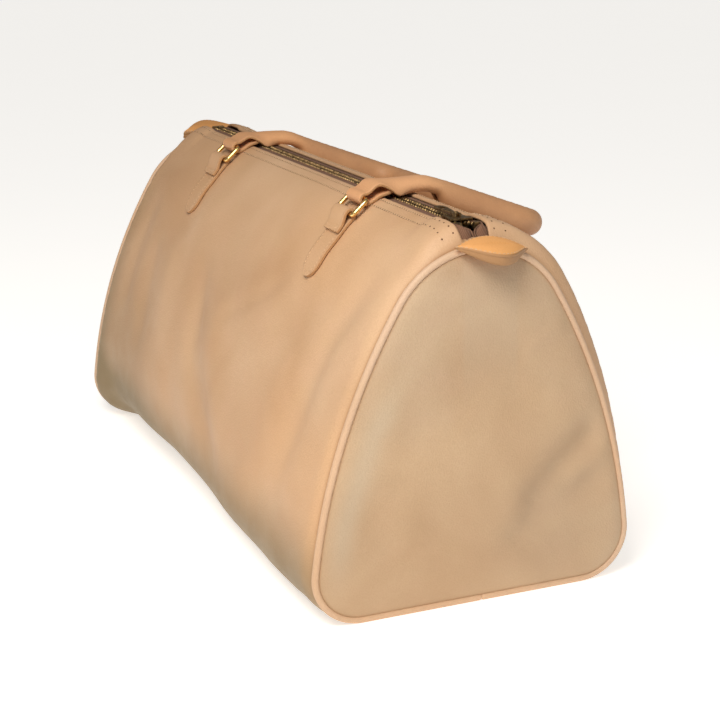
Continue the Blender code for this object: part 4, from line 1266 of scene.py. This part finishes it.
def bar_place(side_name):
    """Centre of the ring's bar inside its chape."""
    return on_track(panel_track(side_name == "rear"), chape_runs[side_name],
                    seat_gap + loop_radius)


def turned(points, lean, home):
    """Turn points about X and move them to their home."""
    y = points[..., 1] * math.cos(lean) - points[..., 2] * math.sin(lean)
    z = points[..., 1] * math.sin(lean) + points[..., 2] * math.cos(lean)
    return points_of(points[..., 0], y, z) + home


wide = strap_width / 2 + ring_side_clearance + wire_radius - ring_corner
turns = circle(ring_wire_sides)[:, None]
ring_rings = []
for across, along, start in ((1, 1, 0), (-1, 1, 90), (-1, -1, 180), (1, -1, 270)):
    for turn in np.radians(start + np.linspace(0.0, 90.0, 11)):
        way = np.array([math.cos(turn), math.sin(turn), 0.0])
        corner = np.array([across * wide, ring_pitch / 2 + along * (ring_pitch / 2 - ring_corner),
                           0.0])
        wire = np.cos(turns) * way + np.sin(turns) * np.array([0.0, 0.0, 1.0])
        ring_rings.append(corner + ring_corner * way + wire_radius * wire)
ring_rings = np.stack(ring_rings)
for side_name, _ in sides:
    for end_name, end in ends:
        home = np.array([end * handle_half_span, *bar_place(side_name)])
        mesh = tube("ring", turned(ring_rings, ring_leans[side_name], home), closed=True)
        ring_name = f"{side_name}_ring_{end_name}"
        add_piece(f"{side_name}_{end_name}_wire_ring", mesh, bright_brass,
                  ring_name, ring_name)

# %% [markdown]
# ## The path of a handle
#
# A handle is one strap 20 mm wide. Its ends pass round the rings and are sewn back on
# themselves, and between them it makes an arch. The path is a list of stations, each
# with a place, the way forward, the way up and the travel from the ring. Half is worked
# out and the other half is its mirror image.

# %% Path of the handle
strap_lift, strap_eye_length, strap_tail_length = 0.0068, 0.0120, 0.0180
strap_level_length, leg_length = 0.0420, 0.0900
leg_bend, leg_bend_radius, arch_corner_radius = math.radians(20.4), 0.0300, 0.0200
tail_sag = 0.0020
bend_run = leg_bend_radius * math.tan(leg_bend / 2)
bend_start = strap_level_length - bend_run
leg_straight = leg_length - bend_run - arch_corner_radius


def strap_profile():
    """Along and up from the cut tail, round the ring's bar and back over it."""
    tail_height = strap_lift - 2 * strap_leather - seat_gap
    shares = np.linspace(1.0, 0.08, 12)
    along = np.concatenate([strap_tail_length
                            - np.arange(4) * (strap_tail_length - strap_eye_length) / 4,
                            shares * strap_eye_length])
    up = np.concatenate([np.full(4, tail_height),
                         -loop_radius + (tail_height + loop_radius) * ease(shares)])
    under = points_of(along, up - tail_sag * np.sin(np.pi * along / strap_tail_length))
    over = points_of(shares * strap_eye_length,
                     loop_radius + (strap_lift - loop_radius) * ease(shares))[::-1]
    return under, half_turn(loop_radius, (0.0, 0.0), 20), over


def handle_half():
    """Stations of the leather from a tail to the middle of the arch."""
    stations = []

    def add(along, up, up_along, up_up, travel):
        stations.append((np.array([handle_half_span, along, up]),
                         np.array([0.0, up_up, -up_along]), np.array([0.0, up_along, up_up]),
                         travel))

    under, fold, over = strap_profile()
    profile = np.concatenate([under, fold, over])
    for index, (point, way) in enumerate(zip(profile, left_ways(profile))):
        add(*point, *way, point[0] if index > len(under) + len(fold) else 0.0)
    for along in strap_eye_length + np.linspace(0.1, 0.92, 9) * (bend_start - strap_eye_length):
        add(along, strap_lift, 0.0, 1.0, along)
    for turn in np.linspace(0.0, leg_bend, 9):
        add(bend_start + leg_bend_radius * math.sin(turn),
            strap_lift - leg_bend_radius * (1.0 - math.cos(turn)),
            math.sin(turn), math.cos(turn), bend_start + leg_bend_radius * turn)
    place, forward, up_way, travel = stations[-1]
    for reach in np.linspace(0.04, 1.0, 24) * leg_straight:
        stations.append((place + reach * forward, forward, up_way, travel + reach))
    travel, side = travel + leg_straight, np.array([1.0, 0.0, 0.0])
    centre = place + leg_straight * forward - arch_corner_radius * side
    for turn in np.linspace(0.0, math.pi / 2, 13)[1:]:
        out = math.cos(turn) * side + math.sin(turn) * forward
        ahead = math.cos(turn) * forward - math.sin(turn) * side
        stations.append((centre + arch_corner_radius * out, ahead, up_way, travel))
    for share in np.linspace(0.0, 1.0, 16)[1:-1]:
        place = centre + arch_corner_radius * forward - share * centre[0] * side
        stations.append((place, -side, up_way, travel))
    return stations


half_path = handle_half()
mirror = np.array([-1.0, 1.0, 1.0])
handle_path = half_path + [(place * mirror, -forward * mirror, up_way, travel)
                           for place, forward, up_way, travel in half_path[::-1]]
print("handle has", len(handle_path), "stations")

# %% [markdown]
# ## Rolled handles
#
# Between the rings the strap's sides curl under until they meet and make a tube round a
# rope. One number, the roll, goes from 0 where the strap is flat to 1 where it is a
# tube, so one formula makes the whole cover. Soft leather is gathered as soon as it
# leaves the ring, lies there as a flat oval, and stands a little above its solid.

# %% Handle covers
handle_radius, handle_wrap_angle, least_roll = 0.0085, math.radians(352.0), 0.002
strap_flat_length, roll_length, core_gap = 0.0540, 0.0360, 0.0005
handle_leans = {"front": 0.0, "rear": math.radians(-45.0)}
gather_start, gather_length, gather_share, gathered_depth = 0.006, 0.030, 0.85, 0.0095
# How far the far and the near strap rise at the ring, and how much of it they keep
far_rise, near_rise, far_rise_kept, near_rise_kept = 0.0016, 0.0030, 0.0004, 0.0042
rise_length, settle_start, settle_length = 0.011, 0.024, 0.040
cover_edge_round, edge_width, cover_ripple = 0.0006, 0.0008, 0.00010
roll_wear, edge_wear = 0.50, 0.20
rope_sides, rope_strands, rope_twist, strand_depth = 24, 3, 0.022, 0.07
section_shares = np.concatenate([[-0.5, -0.496, -0.487], np.linspace(-0.47, 0.47, 35),
                                 [0.487, 0.496, 0.5]])


def rolled_section(share):
    """Angle, radius and depth of the leather when it is rolled by a share."""
    angle = handle_wrap_angle * max(share, least_roll)
    width = strap_width + (handle_wrap_angle * handle_radius - strap_width) * share
    return angle, width / angle, width / angle * (1.0 - math.cos(angle / 2))


def plump_rise(x, travel):
    """How far the soft handle stands above its solid, most on the near strap."""
    nearness = (x + handle_half_span) / (2.0 * handle_half_span)
    first = far_rise + (near_rise - far_rise) * nearness
    kept = far_rise_kept + (near_rise_kept - far_rise_kept) * nearness
    return ease(travel, 0.0, rise_length) * (
        first + (kept - first) * ease(travel, settle_start, settle_length))


outer, inner, edge_values, wear_values, core_path = [], [], [], [], []
travelled, last_place = 0.0, handle_path[0][0]
for place, forward, up_way, travel in handle_path:
    rolled = ease(travel, strap_flat_length - roll_length / 2, roll_length)
    share = rolled + (1.0 - rolled) * gather_share * ease(travel, gather_start, gather_length)
    angle, radius, depth = rolled_section(share)
    squash = min(1.0, max(rolled_section(rolled)[2], gathered_depth) / depth)
    place = place + plump_rise(place[0], travel) * up_way
    aside = np.cross(forward, up_way)
    travelled += np.linalg.norm(place - last_place)
    last_place = place
    edge_gap = (0.5 - np.abs(section_shares)) * angle * radius
    near_edge = np.clip(1.0 - edge_gap / edge_width, 0.0, 1.0)
    trim = cover_edge_round * near_edge ** 2
    ripple = (cover_ripple * share * np.sin(900.0 * travelled)
              * np.cos(2.0 * np.pi * section_shares))
    turn = (angle * section_shares)[:, None]
    for points, wall in ((outer, trim - ripple), (inner, strap_leather - trim)):
        reach = (radius - wall)[:, None]
        points.append(place + reach * np.sin(turn) * aside
                      - squash * (radius - reach * np.cos(turn)) * up_way)
    edge_values.append(ease(near_edge, 0.4, 0.6))
    wear_values.append(strap_wear + roll_wear * rolled + edge_wear * near_edge)
    if rolled >= 1.0:
        core_path.append((place - handle_radius * up_way, up_way, aside, travelled))
cover_outer, cover_inner = np.stack(outer), np.stack(inner)
cover_values = {"edge": np.stack(edge_values), "wear_and_shade": np.stack(wear_values)}

core_radius, turns = handle_radius - strap_leather - core_gap, circle(rope_sides)[:, None]
core_rings = []
for centre, up_way, aside, travelled in core_path:
    lay = np.cos(rope_strands * turns - 2.0 * np.pi * travelled / rope_twist)
    core_rings.append(centre + core_radius * (1.0 - strand_depth + strand_depth * lay)
                      * (np.cos(turns) * up_way + np.sin(turns) * aside))


def handle_home(side_name):
    """Place of the handle's joint axis, at the ring's far bar."""
    bar, lean = bar_place(side_name), ring_leans[side_name]
    return np.array([0.0, bar[0] + ring_pitch * math.cos(lean),
                     bar[1] + ring_pitch * math.sin(lean)])


for side_name, _ in sides:
    home, lean, body = handle_home(side_name), handle_leans[side_name], f"{side_name}_handle"
    cover = shell("cover", turned(cover_outer, lean, home), turned(cover_inner, lean, home),
                  cover_values)
    add_piece(f"{side_name}_rolled_strap", cover, handle_leather,
              f"{body}_cover", body)
    add_piece(f"{side_name}_rope", tube("rope", turned(np.stack(core_rings), lean, home)),
              rope_cotton, f"{body}_core", body)

# %% [markdown]
# ## Stitches on the straps
#
# The chapes are sewn to the bag round their tips, and the rolled handles are closed by
# one row beside the seam underneath. The same tree makes both: only the lines differ.

# %% Chape and handle stitches
stitch_inset, stitch_lift = 0.0024, 0.0001
seam_angle, tail_rows, tail_row_half = math.radians(162.0), (0.0135, 0.0165), 0.0075
strap_thread = sizes(0.0027, 0.0020, 0.00055, 0.0005, thread, Slant=0.09, Seed=17)


def chape_lines(side_name):
    """A row round the chape's tip and a row beside the cut end of its front layer."""
    place, bar_run = chape_placer(side_name), chape_runs[side_name]
    half, layer = strap_width / 2 - stitch_inset, seat_gap + strap_leather
    tip = bar_run + chape_length - stitch_inset
    round_start = tip - chape_tip_length + stitch_inset
    turns = np.linspace(0.0, np.pi, 25)
    down = np.linspace(bar_run + chape_front_length + 0.0012, round_start, 10)
    cut = bar_run + chape_front_length - 0.0022
    lower = np.linspace(bar_run + chape_close_length + 0.001, cut, 8)
    rows = ((down, half * np.cos(turns), round_start + (tip - round_start) * np.sin(turns), 1),
            (lower, np.linspace(half, -half, 12)[1:-1], np.full(10, cut), 2))
    lines = []
    for end in (1.0, -1.0):
        for leg, across, ahead, layers in rows:
            x = np.concatenate([np.full(len(leg), half), across, np.full(len(leg), -half)])
            along = np.concatenate([leg, ahead, leg[::-1]])
            height = np.full_like(along, layers * layer + stitch_lift)
            laid, above = place(along, height), place(along, height + mm)
            lines.append((points_of(end * handle_half_span + x, *laid.T),
                          points_of(0.0, *((above - laid) / mm).T)))
    return lines


def handle_lines(side_name):
    """A row beside the seam under the handle, and two short rows across each tail."""
    home, lean = handle_home(side_name), handle_leans[side_name]
    ways = np.array([math.cos(seam_angle) * up_way + math.sin(seam_angle) * aside
                     for _, up_way, aside, _ in core_path])
    centres = np.array([centre for centre, *_ in core_path])
    rows = [(centres + (handle_radius + stitch_lift) * ways, ways)]
    for end in (1.0, -1.0):
        for along in tail_rows:
            x = end * handle_half_span + np.linspace(-tail_row_half, tail_row_half, 8)
            rows.append((points_of(x, along, strap_lift + stitch_lift),
                         points_of(0.0 * x, 0.0, 1.0)))
    return [(turned(line, lean, home), turned(way, lean, 0.0)) for line, way in rows]


for side_name, _ in sides:
    grow(f"{side_name}_chape_stitches", stitch_tree, chape_lines(side_name),
         strap_thread)
    grow(f"{side_name}_handle_stitches", stitch_tree, handle_lines(side_name),
         strap_thread, body=f"{side_name}_handle")

# %% [markdown]
# ## The board inside
#
# A stiff board lies on the base inside the bag. It is out of sight, and its solid is
# already the right shape, so it only needs its corners softened.

# %% Board
dressed_copy("base_board", "base_stiffener", grey_board, 0.0006)
